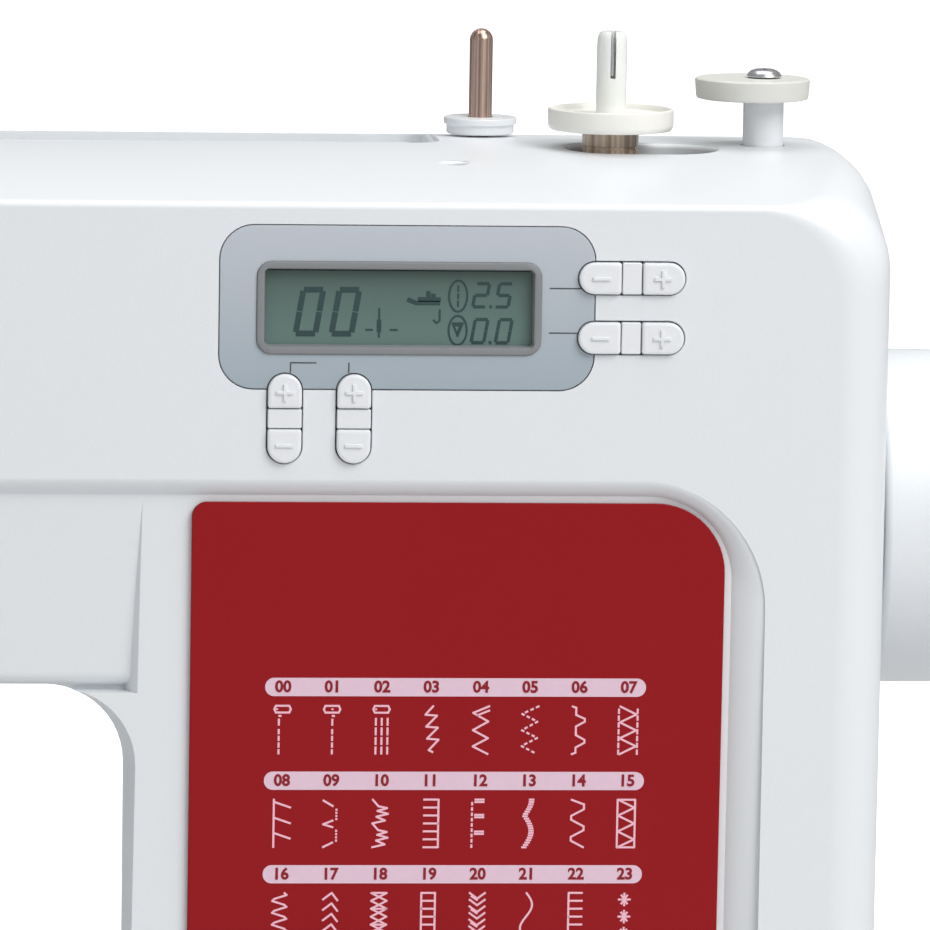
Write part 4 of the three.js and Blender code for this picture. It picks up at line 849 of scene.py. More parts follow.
fit(gather("display_marks", [big_figures, small_figures, icon_marks, shoe_mark]), segment_tone,
    "display_glass", "machine_body")

plate_y = lambda z: FRONT_Y + 0.02
leaders = [[(107.9, 264.85), (114.0, 264.85)], [(107.9, 256.0), (113.9, 256.0)]]
leaders += [[(56.9, 247.9), (56.9, 249.8), (61.9, 249.8)], [(68.4, 247.9), (68.4, 249.8)]]
fit(strokes("display_leader_lines", leaders, 0.26, plate_y), print_tone, "grey_display", "machine_body")

# %% [markdown]
# ## Buttons
#
# Each pair is one capsule split by a fixed bar. A button is its D-shaped outline carried back from a
# slightly smaller front ring, so the face is soft at the rim, and its plus or minus sign is raised on
# the face as two or one low bars. Every button rides on its own body, because each one can be pressed.


# %% Buttons
BRIDGE = 2.1          # half of the fixed bar's room between two buttons
SIGN_BARS = ((1.75, 0.33), (0.33, 1.75))          # half sizes of a plus sign's level and upright bar


def half_capsule(pair, way, grow=0.0):
    """The D-shape of one button of a pair, on its plus (+1) or minus (-1) end."""
    inner, outer, half = BRIDGE - grow, pair["length"] / 2 + grow, pair["width"] / 2 + grow
    tip = half - 0.05
    local = fillet([(inner, -half, 0.55), (outer, -half, tip), (outer, half, tip),
                    (inner, half, 0.55)], 10)
    if pair["along"] == "x":
        return [(pair["x"] + way * p.x, pair["z"] + p.y) for p in local]
    return [(pair["x"] - p.y, pair["z"] + way * p.x) for p in local]


BUTTON_Y = FRONT_Y - 1.2
for name, pair in PAIRS.items():
    half, tip = pair["width"] / 2, pair["length"] / 2
    for way, sign in ((1, "plus"), (-1, "minus")):
        face = [(0.75, 0.0), (0.4, 0.04), (0.16, 0.16), (0.04, 0.38), (0.0, 0.7), (0.0, 6.2)]
        button = ring_solid(f"{name}_{sign}_key",
                            [front(half_capsule(pair, way, -i), BUTTON_Y + d) for i, d in face])
        middle = way * (BRIDGE + tip) / 2 + (0.2 if way < 0 else -0.2)
        dx, dz = (middle, 0) if pair["along"] == "x" else (0, middle)
        x, z = pair["x"] + dx, pair["z"] + dz
        bars = [block("bar", x - u, x + u, BUTTON_Y - 0.4, BUTTON_Y + 0.3, z - v, z + v, 0.1, 2)
                for u, v in SIGN_BARS[:2 if sign == "plus" else 1]]
        combine(button, bars, "UNION")
        fit(button, white_part, "white_button", f"{name}_{sign}_key", f"{name}_{sign}_button")
    du, dv = (BRIDGE - 0.18, half) if pair["along"] == "x" else (half, BRIDGE - 0.18)
    bar = block(name + "_fixed_bar", pair["x"] - du, pair["x"] + du, FRONT_Y - 0.7, FRONT_Y + 6,
                pair["z"] - dv, pair["z"] + dv, 0.3)
    fit(bar, white_part, "white_casing", "machine_body")

for name, x in HEAD_BUTTONS.items():
    low, high = low_high(name)
    r, long = HEAD_BUTTON_R, high.y - low.y
    face = about(r, low.y, (-2.6, 0.42), (-1.6, 0.2), (-0.9, 0), (-0.4, 0.12), (-0.1, 0.4), (0, 0.8),
                 (0, long - 1.6))
    key = turned(name + "_finished", face + about(r + 1, high.y, (0, -1.5), (0, 0)), x, HEAD_BUTTON_Z,
                 "y", 64)
    body = "reverse_key" if name == "reverse_button" else "needle_key"
    fit(key, white_part, "white_button", body, name)
    sign = [oval(x, HEAD_BUTTON_Z, 1.9, 1.9)[3:19],
            [(x + 1.1, HEAD_BUTTON_Z + 2.5), (x + 1.2, HEAD_BUTTON_Z + 1.2)]]
    if body == "needle_key":
        tip = (x, HEAD_BUTTON_Z - 2.6)
        sign = [[(x, HEAD_BUTTON_Z + 2.6), tip], [(x - 1, tip[1] + 1.4), tip, (x + 1, tip[1] + 1.4)]]
    fit(strokes(name + "_sign", sign, 0.4, lambda z, y=low.y: y + 0.4), print_tone, "white_button",
        body)

# %% [markdown]
# ## The stitch panel
#
# A thin red panel lies in the sunk field, tilted back one degree with it. Its upper right corner is
# large and its other corners are small. The chart is printed on it: rows of pale bars with a number over
# each stitch, and under them a drawing of the stitch, built from dashes, zigzags and ticks in a unit box.

# %% Stitch panel
red = Paint("red_panel", (0.29, 0.009, 0.012), 0.45, Specular_IOR_Level=0.12)
red.tint(red.noise(14, 3), (0.282, 0.0075, 0.011), (0.31, 0.0105, 0.0145))
red.set("Roughness", 0.4 + 0.08 * red.noise(1800, 2))
red.bump(red.noise(2400, 2), 0.00002)
PANEL = {"x0": 37.9, "x1": 144, "z0": DECK_Z + 8.5, "z1": 221.8}
TILT = math.tan(math.radians(1))
panel_y = lambda z: FRONT_Y + RECESS["depth"] - 1.3 + (RECESS["z1"] - z) * TILT


def panel_ring(grow, behind):
    x0, x1, z0, z1 = PANEL["x0"] - grow, PANEL["x1"] + grow, PANEL["z0"] - grow, PANEL["z1"] + grow
    outline = fillet([(x0, z0, 3 + grow), (x1, z0, 3 + grow), (x1, z1, 14 + grow), (x0, z1, 3 + grow)],
                     16)
    return [(p[0], panel_y(p[1]) + behind, p[1]) for p in outline]


panel = ring_solid("stitch_panel_finished", [panel_ring(-0.28, 0), panel_ring(-0.1, 0.05),
                                             panel_ring(0, 0.2), panel_ring(0, 1)])
fit(panel, red, "red_panel", "machine_body", "stitch_panel")

# %% Stitch drawings
def zigzag(count, u0=0.1, u1=0.9):
    return [(u1 if k % 2 else u0, 1 - k / count) for k in range(count + 1)]


def dashes(u, v0, v1, count, share=0.6):
    step = (v1 - v0) / count
    return [[(u, v0 + k * step), (u, v0 + (k + share) * step)] for k in range(count)]


def broken(line, share):
    """Each straight run of a line as three dashes."""
    parts = []
    for (u0, v0), (u1, v1) in zip(line, line[1:]):
        for k in range(3):
            a, b = k / 3, (k + share) / 3
            parts.append([(u0 + (u1 - u0) * a, v0 + (v1 - v0) * a),
                          (u0 + (u1 - u0) * b, v0 + (v1 - v0) * b)])
    return parts


def ladder(count, u0, u1):
    return [[(u0, 1 - k / count), (u1, 1 - k / count)] for k in range(count + 1)]


def needle_place(u):
    """A small round-ended box with a dot, which shows where the needle stands."""
    frame = [(0.14, 1.0), (0.82, 1.0), (0.9, 0.93), (0.82, 0.86), (0.14, 0.86), (0.06, 0.93),
             (0.14, 1.0)]
    return [frame, [(u, 0.925), (u, 0.935)]]


def straight(place, u):
    start = [[(u, 0.79), (u + 0.1, 0.79)], [(u, 0.72), (u, 0.6)]]
    return needle_place(place) + start + dashes(u, 0.0, 0.56, 4)


def crossed(count, u0=0.1, u1=0.9):
    lines = []
    for k in range(count):
        a, b = 1 - k / count, 1 - (k + 1) / count
        lines += [[(u0, a), (u1, b)], [(u1, a), (u0, b)]]
    return lines


def steps_zigzag(count, u0=0.25, u1=0.75):
    """A zigzag whose turns are short level runs."""
    line = []
    for k in range(count + 1):
        u, v = (u1, u0)[k % 2], 1 - k / count
        line += [(u, v), (u + (0.12 if k % 2 == 0 else -0.12), v - 0.35 / count)]
    return line[:-1]


wave = [(0.5 + 0.3 * math.sin(math.tau * k / 24), 1 - k / 24) for k in range(25)]
scallop = []
for k in range(21):
    v = k / 20
    u = 0.35 + 0.35 * abs(math.sin(math.pi * 1.5 * v))
    scallop.append([(u - 0.13, v), (u + 0.08, v)])
star = lambda v: [[(0.5 - u, v - w), (0.5 + u, v + w)]
                  for u, w in ((0.3, 0), (0.15, 0.09), (-0.15, 0.09), (0, 0.13))]
verticals = lambda *us: [[(u, 0.0), (u, 1.0)] for u in us]
arrows = [[(0.15, v - 0.14), (0.6, v), (0.9, v - 0.16)] for v in (1.0, 0.78, 0.56, 0.34)]
STITCHES = [
    straight(0.2, 0.3),
    straight(0.5, 0.5),
    needle_place(0.2) + [dash for u in (0.2, 0.5, 0.8) for dash in dashes(u, 0.0, 0.8, 4, 0.7)],
    [[(0.6, 1.0), (0.2, 0.82), (0.8, 0.8), (0.25, 0.57), (0.85, 0.55), (0.3, 0.32), (0.9, 0.3),
      (0.4, 0.08), (0.6, 0.04)]],
    [[(0.95, 1.0), (0.12, 0.86), (0.9, 0.68), (0.12, 0.5), (0.9, 0.33), (0.12, 0.16), (0.9, 0.0)],
     [(0.95, 0.91), (0.34, 0.81)]],
    broken([(0.95, 1.0), (0.1, 0.84), (0.9, 0.68), (0.1, 0.5), (0.9, 0.34), (0.1, 0.17), (0.9, 0.0)],
           0.4),
    [[(0.15, 1.0), (0.35, 0.97), (0.35, 0.82), (0.8, 0.74), (0.8, 0.68), (0.35, 0.58), (0.35, 0.4),
      (0.8, 0.3), (0.8, 0.24),
      (0.35, 0.14), (0.35, 0.03), (0.15, 0.0)]],
    [zigzag(6, 0.08, 0.92)] + dashes(0.02, 0, 1, 7) + dashes(0.98, 0, 1, 7),
    verticals(0.1) + [[(0.1, v), (0.95, v - 0.12)] for v in (0.95, 0.62, 0.3)],
    [[(0.1, 0.98), (0.6, 0.86)], [(0.6, 0.56), (0.1, 0.48), (0.6, 0.42)], [(0.6, 0.1), (0.1, 0.0)]]
    + dashes(0.78, 0.58, 0.84, 4, 0.3) + dashes(0.78, 0.13, 0.4, 4, 0.3),
    [[(0.1, 1.0), (0.4, 0.86), (0.85, 0.82), (0.35, 0.76), (0.9, 0.7), (0.3, 0.64), (0.75, 0.56),
      (0.1, 0.5),
      (0.4, 0.36), (0.85, 0.32), (0.35, 0.26), (0.9, 0.2), (0.3, 0.14), (0.75, 0.06), (0.1, 0.0)]],
    verticals(0.95) + ladder(6, 0.2, 0.95),
    dashes(0.15, 0, 1, 9, 0.45) + [[(0.3, v), (0.75, v)] for v in (1.0, 0.95, 0.68, 0.63, 0.33, 0.28)],
    scallop,
    [[(0.2, 1.0), (0.85, 0.9), (0.85, 0.8), (0.2, 0.66), (0.2, 0.58), (0.85, 0.44), (0.85, 0.36),
      (0.2, 0.22), (0.2, 0.14), (0.85, 0.0)]],
    [zigzag(6, 0.08, 0.92)] + verticals(0.05, 0.95) + ladder(1, 0.05, 0.95),
    [steps_zigzag(8, 0.2, 0.7)],
    arrows,
    crossed(6) + ladder(3, 0.1, 0.9),
    verticals(0.15, 0.85) + ladder(6, 0.15, 0.85),
    [[(0.1, v), (0.5, v - 0.12), (0.9, v)] for v in (1.0, 0.86, 0.72, 0.58, 0.44, 0.3, 0.16)]
    + [[(0.2, v), (0.5, v - 0.08)] for v in (0.93, 0.65, 0.37)],
    [wave],
    verticals(0.15) + ladder(6, 0.15, 0.85),
    star(0.86) + star(0.5) + star(0.14),
]

# %% Stitch chart
chart_bar = printed("chart_bars", 700, (0.74, 0.53, 0.64), (0.79, 0.58, 0.69))
chart_line = printed("chart_strokes", 900, (0.84, 0.47, 0.57), (0.92, 0.54, 0.64))
chart_number = printed("chart_numbers", 900, (0.25, 0.007, 0.016), (0.29, 0.01, 0.02))
BAR_ZS, COLUMN_X, COLUMN_STEP = (184.75, 165.8, 146.8), 56.4, 9.84
bars, drawings, numbers = [], [], []
for row, bar_z in enumerate(BAR_ZS):
    outline = rectangle(52.8, bar_z - 1.85, 128.7, bar_z + 1.85, 1.8, 0, 10)
    bars.append(ring_solid("bar", [[(p[0], panel_y(p[1]) + lift, p[1]) for p in outline]
                                   for lift in (-0.04, 0.02)]))
    for column in range(8):
        number, x = 8 * row + column, COLUMN_X + COLUMN_STEP * column
        numbers.append((f"{number:02d}", x, bar_z))
        for line in STITCHES[number]:
            drawings.append([(x - 1.95 + 3.9 * u, bar_z - 13.5 + 9.7 * v) for u, v in line])
fit(gather("chart_bars", bars), chart_bar, "red_panel", "machine_body")
fit(strokes("chart_strokes", drawings, 0.4, panel_y), chart_line, "red_panel", "machine_body")
fit(lettering("chart_numbers", numbers, 2.35, lambda z: panel_y(z) - 0.03, 0.11), chart_number,
    "red_panel", "machine_body")

# %% [markdown]
# ## Fittings on the top
#
# Spool pin, bobbin winder and winder stop are all turned shapes: a profile of radii is stacked ring by
# ring. The pin ends in a hemisphere, the winder's flange is a shallow cup with a thin rim, and a thin
# steel spring sits in a slot of its milky spindle. The amber hub shows below the flange.

# %% Finishes of the fittings
copper = Paint("copper_pin", (0.46, 0.32, 0.265), 0.3, Metallic=1.0)
bands = copper.noise(1500, 3, (1, 1, 0.004))
streaked(copper, bands, (0.26, 0.17, 0.14), (0.78, 0.57, 0.48))
copper.set("Roughness", 0.22 + 0.2 * bands)
milky = moulded("milky_plastic", (0.93, 0.95, 0.92), 0.3, drift=0.03, Coat_Weight=0.25,
                Transmission_Weight=0.12)
flange_tone = moulded("flange_plastic", (0.82, 0.81, 0.76), 0.4, drift=0.04)
stop_tone = moulded("winder_stop_plastic", (0.68, 0.68, 0.64), 0.42, drift=0.03)
amber = Paint("amber_hub", (0.36, 0.27, 0.2), 0.25, Coat_Weight=0.4)
streaked(amber, amber.noise(900, 3, (1, 1, 0.02)), (0.36, 0.25, 0.18), (0.86, 0.7, 0.55))
steel = Paint("bright_steel", (0.62, 0.63, 0.65), 0.28, Metallic=1.0)
marks = steel.noise(2500, 3, (1, 1, 0.1))
steel.tint(marks, (0.52, 0.53, 0.55), (0.72, 0.73, 0.75))
steel.set("Roughness", 0.2 + 0.18 * marks)

# %% Spool pin and collar
low, high = low_high("spool_pin")
pin_r = (high.x - low.x) / 2
tip = [(pin_r * math.cos(a) + 0.01, high.z - pin_r + pin_r * math.sin(a))
       for a in [math.pi / 2 * k / 8 for k in range(9)]]
pin = turned("spool_pin_finished", [(pin_r - 0.2, low.z), (pin_r, low.z + 0.3)] + tip, SPOOL["x"],
             SPOOL["y"])
fit(pin, copper, "copper_metal", "machine_body", "spool_pin")
low, high = low_high("spool_pin_collar")
collar_r = (high.x - low.x) / 2
profile = about(collar_r, low.z, (-0.9, 0), (-0.6, 0.25))
profile += about(collar_r, high.z, (-0.6, -1.75), (-0.45, -1.5), (-0.1, -1.42), (0, -1.25), (0, -0.35),
                 (-0.12, -0.1), (-0.4, 0))
profile += about(0, high.z, (5.2, 0), (5.0, -0.25), (4.7, -0.25), (4.5, 0), (0.5, 0))
collar = turned("spool_pin_collar_finished", profile, SPOOL["x"], SPOOL["y"], sides=64)
bored(collar, pin_r + GAP, low.z - 1, high.z + 1, SPOOL["x"], SPOOL["y"])
fit(collar, white_part, "white_button", "machine_body", "spool_pin_collar")

# %% Bobbin winder
SPINDLE_R = 3.1
low, high = low_high("winder_carriage")
profile = about(5.8, 276, (-0.2, -0.5), (0, 0))
profile += about(5.8, high.z, (0, -3.4), (-0.25, -3.3), (-0.25, -2.9), (0, -2.8), (0, -0.3), (-0.3, 0))
hub = turned("winder_hub", profile, WINDER["x"], WINDER["y"], sides=64)
combine(hub, [block("foot", low.x, high.x, low.y, high.y - 1.8, low.z, 276, 0.5)], "UNION")
bored(hub, 2.4, 268, 294, WINDER["x"], WINDER["y"])
fit(hub, amber, "amber_plastic", "winder_arm", "winder_carriage")
low, high = low_high("winder_flange")
rim_r = (high.x - low.x) / 2
profile = about(rim_r, low.z, (-1.2, 0), (-0.55, 0.12), (-0.2, 0.6), (0, 1.3))
profile += about(rim_r, high.z, (0, -0.4), (-0.14, -0.12), (-0.4, 0), (-0.72, -0.12), (-0.9, -0.4),
                 (-1.15, -1.15))
profile += about(rim_r, high.z - 1.4, (-1.5, 0), (1 - rim_r, 0))
flange = turned("winder_flange_finished", profile, WINDER["x"], WINDER["y"], sides=96)
bored(flange, SPINDLE_R + GAP, low.z - 1, high.z + 1, WINDER["x"], WINDER["y"])
fit(flange, flange_tone, "light_grey_plastic", "winder_reel", "winder_flange")
low, high = low_high("winder_spindle")
profile = [(1.8, low.z), (2, low.z + 0.3), (2, 291.1), (SPINDLE_R, 291.2)]
profile += about(SPINDLE_R, high.z, (0, -3.2), (-0.1, -1.6), (-0.35, -0.6), (-0.75, -0.15), (-1.4, 0))
spindle = turned("winder_spindle_finished", profile, WINDER["x"], WINDER["y"], sides=64)
slot = block("slot", WINDER["x"] - 0.55, WINDER["x"] + 0.55, WINDER["y"] - 5, WINDER["y"] - 0.4, 301.6,
             high.z + 1)
combine(spindle, [slot])
fit(spindle, milky, "translucent_plastic", "winder_reel", "winder_spindle")
wire = [(0.3, 302.2), (0.34, 302.5), (0.36, 305.0), (0.42, 306.5), (0.36, 308.5), (0.3, 310.3),
        (0.2, 310.6)]
spring = turned("winder_spring", wire, WINDER["x"] - 0.05, WINDER["y"] - 2.2, sides=16)
fit(spring, steel, "plated_steel", "winder_reel")

# %% Winder stop
low, high = low_high("winder_stop")
profile = about(STOP["r"], STOP["z0"], (-1.1, 0), (-0.5, 0.15), (-0.3, 0.6))
profile += about(STOP["r"], high.z, (-0.05, -0.6), (-0.1, -0.25), (-0.45, 0))
disc = turned("winder_stop_finished", profile, STOP["x"], STOP["y"], sides=96)
fit(disc, stop_tone, "light_grey_plastic", "machine_body", "winder_stop")
profile = [(STOP["post_r"], low.z)] + about(STOP["post_r"], STOP["z0"], (0, -0.6), (-0.2, 0.2))
post = turned("winder_stop_post", profile, STOP["post_x"], STOP["y"], sides=16)
fit(post, white_part, "white_casing", "machine_body")
low, high = low_high("winder_stop_screw")
profile = about(3.6, low.z, (-0.05, 0), (0, 0.15), (-0.3, 0.8))
profile += about(0, high.z, (2.7, -0.35), (1.9, -0.05), (0.4, 0))
screw = turned("winder_stop_screw_finished", profile, STOP["post_x"], STOP["y"])
for dx, dy in ((4, 0.4), (0.4, 1.8)):
    arms = (STOP["post_x"] - dx, STOP["post_x"] + dx, STOP["y"] - dy, STOP["y"] + dy)
    combine(screw, [block("slot", *arms, high.z - 0.7, high.z + 2)])
fit(screw, steel, "plated_steel", "machine_body", "winder_stop_screw")

# %% [markdown]
# ## Rear cover and face cover
#
# The rear cover is the same outline taken the other way, from the joint to the back, with cooling slots
# and sunk screws. The face cover closes the left end: its section is drawn from the side, under the
# crowned roof line, and shrinks along a quarter round towards the left. Both are hollow.

# %% Rear cover
rear_planes = [SPLIT_Y + 0.3] + [REAR_Y - d for d in reversed(EDGE_DEPTHS)]
rear = ring_solid("rear_casing", [body_ring(y) for y in rear_planes])
inner_planes = (SPLIT_Y - 1, REAR_Y - 12, REAR_Y - 6, REAR_Y - WALL)
combine(rear, [ring_solid("hollow", [body_ring(y, WALL) for y in inner_planes])])
VENTS = {"x0": 70, "x1": 130, "z": 120, "pitch": 9, "half": 1.5, "count": 7}
tools = []
for k in range(VENTS["count"]):
    z, half = VENTS["z"] + VENTS["pitch"] * k, VENTS["half"]
    flared = ((0, -6), (0, -0.5), (0.4, 0), (0.4, 2))
    rings = []
    for grow, d in flared:
        outline = rectangle(VENTS["x0"], z - half, VENTS["x1"], z + half, 1.3, grow)
        rings.append(front(outline, REAR_Y + d))
    tools.append(ring_solid("vent", rings))
SCREWS = [(60, 262), (160, 255), (-80, 262), (-170, 150), (160, 95), (45, 95)]
for x, z in SCREWS:
    tools.append(turned("sink", about(4.2, REAR_Y, (0, -1.7), (0, -0.3), (0.4, 0), (0.4, 2)), x, z,
                        "y"))
combine(rear, tools)
fit(rear, white, "white_casing", "machine_body", "rear_cover")
heads = []
for x, z in SCREWS:
    profile = about(0, REAR_Y, (3.6, -1.68), (3.6, -1.1), (3.1, -0.7), (1.5, -0.5), (0.3, -0.5))
    cross = [block("cross", x - u, x + u, REAR_Y - 1.2, REAR_Y, z - v, z + v)
             for u, v in ((2, 0.4), (0.4, 2))]
    heads.append(combine(turned("screw", profile, x, z, "y", 32), cross))
fit(gather("rear_screws", heads), steel, "plated_steel", "machine_body")

# %% Face cover
face_low, face_high = low_high("face_cover")
CAP = BODY_LEFT - GAP - face_low.x


def face_ring(x, inset):
    y0, y1 = FRONT_Y + inset, REAR_Y - inset
    roof = [y1 + (y0 - y1) * k / 16 for k in range(17)]
    corners = [(y, crown(y) - min(inset, 7), 1.0 if y in (y0, y1) else 0) for y in roof]
    return side(fillet([(y0, HEAD_UNDER + inset, 5), (y1, HEAD_UNDER + inset, 5)] + corners, 10), x)


cap_steps = [CAP * math.sin(math.pi / 2 * k / 10) for k in range(11)]
cap = ring_solid("face_casing", [face_ring(BODY_LEFT - GAP - e, rounding(CAP - e, CAP) * 0.95 + 0.001)
                                 for e in cap_steps])
combine(cap, [ring_solid("hollow", [face_ring(BODY_LEFT + 0.7, WALL),
                                    face_ring(face_low.x + WALL, WALL + 3)])])
fit(cap, white, "white_casing", "machine_body", "face_cover")

# %% [markdown]
# ## Base, free arm and accessory box
#
# These are blocks with rounded upright edges and a softened top. One outline, seen from above, is
# stacked in height, and the last rings draw in along a quarter round. The accessory box wraps the free
# arm as a U, so it is hollowed in three rooms and then cut open where the arm stands.


# %% Soft blocks
def soft_block(name, x0, x1, y0, y1, z0, z1, corners, edge, foot=0.0):
    def ring(z, inset):
        u0, u1, v0, v1 = x0 + inset, x1 - inset, y0 + inset, y1 - inset
        places = ((u0, v0), (u1, v0), (u1, v1), (u0, v1))
        return top(fillet([(u, v, max(r - inset, 0.3)) for (u, v), r in zip(places, corners)], 12), z)

    rings = [ring(z0 + d, rounding(d, foot)) for d in round_steps(foot, 4)] if foot else [ring(z0, 0)]
    rings += [ring(z1 - d, rounding(d, edge)) for d in reversed(round_steps(edge, 6))]
    return ring_solid(name, rings)


# %% Base cover
base_low, base_high = low_high("base_cover")
x0, x1, y0, y1, z0, z1 = base_low.x, base_high.x, base_low.y, base_high.y, base_low.z, base_high.z
inlet_low, inlet_high = low_high("power_inlet")
rocker_low, rocker_high = low_high("power_switch")
base = soft_block("base_casing", x0, x1, y0, y1, z0, z1, (2, 16, 12, 2), 4, 1)
combine(base, [
    soft_block("hollow", x0 + WALL, x1 - WALL, y0 + WALL, y1 - WALL, z0 - 1, z1 - WALL, (2, 14, 10, 2),
               2),
    block("column_opening", x0 + 9, x1 - 9, FRONT_Y + 14, y1 - 9, z1 - 5, z1 + 1),
    block("arm_opening", x0 - 1, x0 + 4, -31.5, 37.5, 30.5, DECK_Z - 4),
    block("inlet_opening", x1 - 5, x1 + 1, inlet_low.y - GAP, inlet_high.y + GAP,
          inlet_low.z - GAP, inlet_high.z + GAP),
    block("switch_opening", x1 - 5, x1 + 1, rocker_low.y - 0.9, rocker_high.y + 0.9, 23.6, 40.4),
])
fit(base, white, "white_casing", "machine_body", "base_cover")

# %% Free arm
def room(name, x0, x1, y0, y1, z0, z1, corners):
    """A straight room with a radius at each corner: front left, front right, rear right, rear left."""
    places = ((x0, y0), (x1, y0), (x1, y1), (x0, y1))
    outline = fillet([(x, y, r) for (x, y), r in zip(places, corners)], 8)
    return ring_solid(name, [top([tuple(p) for p in outline], z) for z in (z0, z1)])


ARM_R, BOX_R = 12, 16          # upright edges of the free arm and of the box's front
arm_low, arm_high = low_high("free_arm_cover")
plate_low, plate_high = low_high("needle_plate")
arm = soft_block("free_arm_casing", arm_low.x, arm_high.x, arm_low.y, arm_high.y, arm_low.z, DECK_Z,
                 (ARM_R, 1, 1, ARM_R), 1.5, 1)
combine(arm, [
    room("hollow", arm_low.x + WALL, THROAT_RIGHT + 1, arm_low.y + WALL, arm_high.y - WALL,
         arm_low.z + WALL, DECK_Z - 4, (ARM_R - WALL, 0, 0, ARM_R - WALL)),
    block("plate_seat", plate_low.x - GAP, plate_high.x + GAP, arm_low.y - 1, arm_high.y - 3,
          DECK_Z - 1.8, DECK_Z + 1),
    block("hook_room", plate_low.x + 3, plate_high.x - 3, arm_low.y + WALL, arm_high.y - 4, DECK_Z - 6,
          DECK_Z + 1),
])
fit(arm, white, "white_casing", "machine_body", "free_arm_cover")

# %% Accessory box
box_low, box_high = low_high("accessory_box")
floor_z, roof_z, inner_left, inner_right = 12.3, DECK_Z - WALL, box_low.x + WALL, box_high.x + 1
drawer = soft_block("accessory_box_finished", box_low.x, box_high.x, box_low.y, box_high.y, box_low.z,
                    DECK_Z, (BOX_R, 1, 1, ARM_R), 1.5, 1)
combine(drawer, [
    room("front_room", inner_left, inner_right, box_low.y + WALL, -36, floor_z + WALL, roof_z,
         (BOX_R - WALL, 0, 0, 0)),
    block("under_room", inner_left, inner_right, -37, 43, floor_z + WALL, roof_z),
    room("rear_room", inner_left, inner_right, 42, box_high.y - WALL, floor_z + WALL, roof_z,
         (0, 0, 0, ARM_R - WALL)),
    block("arm_room", BODY_LEFT - 1.5, inner_right, -35.5, 41.5, roof_z - 1, DECK_Z + 1),
    block("tray_room", -152, inner_right, -66, 66, box_low.z - 1, floor_z),
    block("finger_grip", box_low.x - 1, box_low.x + 1.1, -40, -12, box_low.z - 1, 20, 0.9),
])
fit(drawer, white, "white_casing", "storage_box", "accessory_box")

# %% [markdown]
# ## Hand wheel, carrying handle and tension dial
#
# The hand wheel is one turned profile, thick at the rim and dished towards its hub. The handle is a
# rounded bar on two arms that turn on stub pins in the walls of its well. The tension dial shows through
# its slot as a knurled edge: every second point of its outline steps in, and numbers run round it.

# %% Hand wheel
low, high = low_high("handwheel")
wheel_r = (high.z - low.z) / 2
axis_y, axis_z = (low.y + high.y) / 2, (low.z + high.z) / 2
rim = [(20, low.x)] + [(wheel_r - rounding(d, 1.5), low.x + d) for d in round_steps(1.5, 5)]
rim += about(wheel_r, high.x, (0, -6), (-0.25, -4.4), (-0.9, -2.7), (-2, -1.2), (-3.4, -0.3), (-5, 0),
             (-6.6, -0.15))
rim += about(wheel_r, high.x, (-8, -0.6), (-9, -1))
rim += about(0, high.x, (20, -2), (12, -2.8), (10, -3), (0.5, -3))
wheel = turned("handwheel_finished", rim, axis_y, axis_z, "x", 128)
bored(wheel, 6.3, low.x - 1, 192.3, axis_y, axis_z, "x", 64)
dimples = []
for k in range(24):
    angle = math.tau * k / 24
    y, z = axis_y + (wheel_r + 2.2) * math.cos(angle), axis_z + (wheel_r + 2.2) * math.sin(angle)
    dimples.append(turned("dimple", about(0, high.x, (0.4, -9), (2.9, -6), (3.4, -3), (3.4, 1)), y, z,
                          "x", 24))
combine(wheel, dimples)
fit(wheel, white, "white_casing", "hand_drive", "handwheel")

# %% Carrying handle
low, high = low_high("handle")
grip_x0, grip_x1, grip_y0, grip_y1 = -58, 86, low.y, low.y + 13.5
grip_z1, arm_wide, pin = crown(grip_y1) - 0.8, 8, (HANDLE_PIN["y"], HANDLE_PIN["z"], "x")
ends = round_steps(1.5, 4)
rings = []
for x, inset in [(grip_x0 + d, rounding(d, 1.5)) for d in ends] + [(grip_x1 - d, rounding(d, 1.5))
                                                                   for d in reversed(ends)]:
    rings.append(side(rectangle(grip_y0 + inset, low.z + inset, grip_y1 - inset, grip_z1 - inset,
                                4 - inset), x))
handle = ring_solid("handle_finished", rings)
parts = []
for x in (grip_x0, grip_x1 - arm_wide):
    parts.append(block("arm", x, x + arm_wide, grip_y0 + 6, HANDLE_PIN["y"], 273.5, 281.5, 1.2))
    knuckle = [(4.1, x), (4.5, x + 0.4), (4.5, x + arm_wide - 0.4), (4.1, x + arm_wide)]
    parts.append(turned("knuckle", knuckle, *pin))
for start, end in ((grip_x0 - 5.5, grip_x0 + 1), (grip_x1 - 1, grip_x1 + 5.5)):
    parts.append(turned("stub", [(HANDLE_PIN["r"], start), (HANDLE_PIN["r"], end)], *pin))
combine(handle, parts, "UNION")
fit(handle, white_part, "white_button", "carry_handle", "handle")

# %% Tension dial
low, high = low_high("tension_dial")
dial_tone = moulded("dial_plastic", (0.52, 0.53, 0.54), 0.42, drift=0.03)


def knurled(radius, depth, x, teeth=60):
    radii = [radius, radius, radius - depth, radius - depth] * teeth
    turns = [math.tau * (k + 0.35 * (k % 2)) / len(radii) for k in range(len(radii))]
    return side([(DIAL["y"] + r * math.cos(a), DIAL["z"] + r * math.sin(a))
                 for r, a in zip(radii, turns)], x)


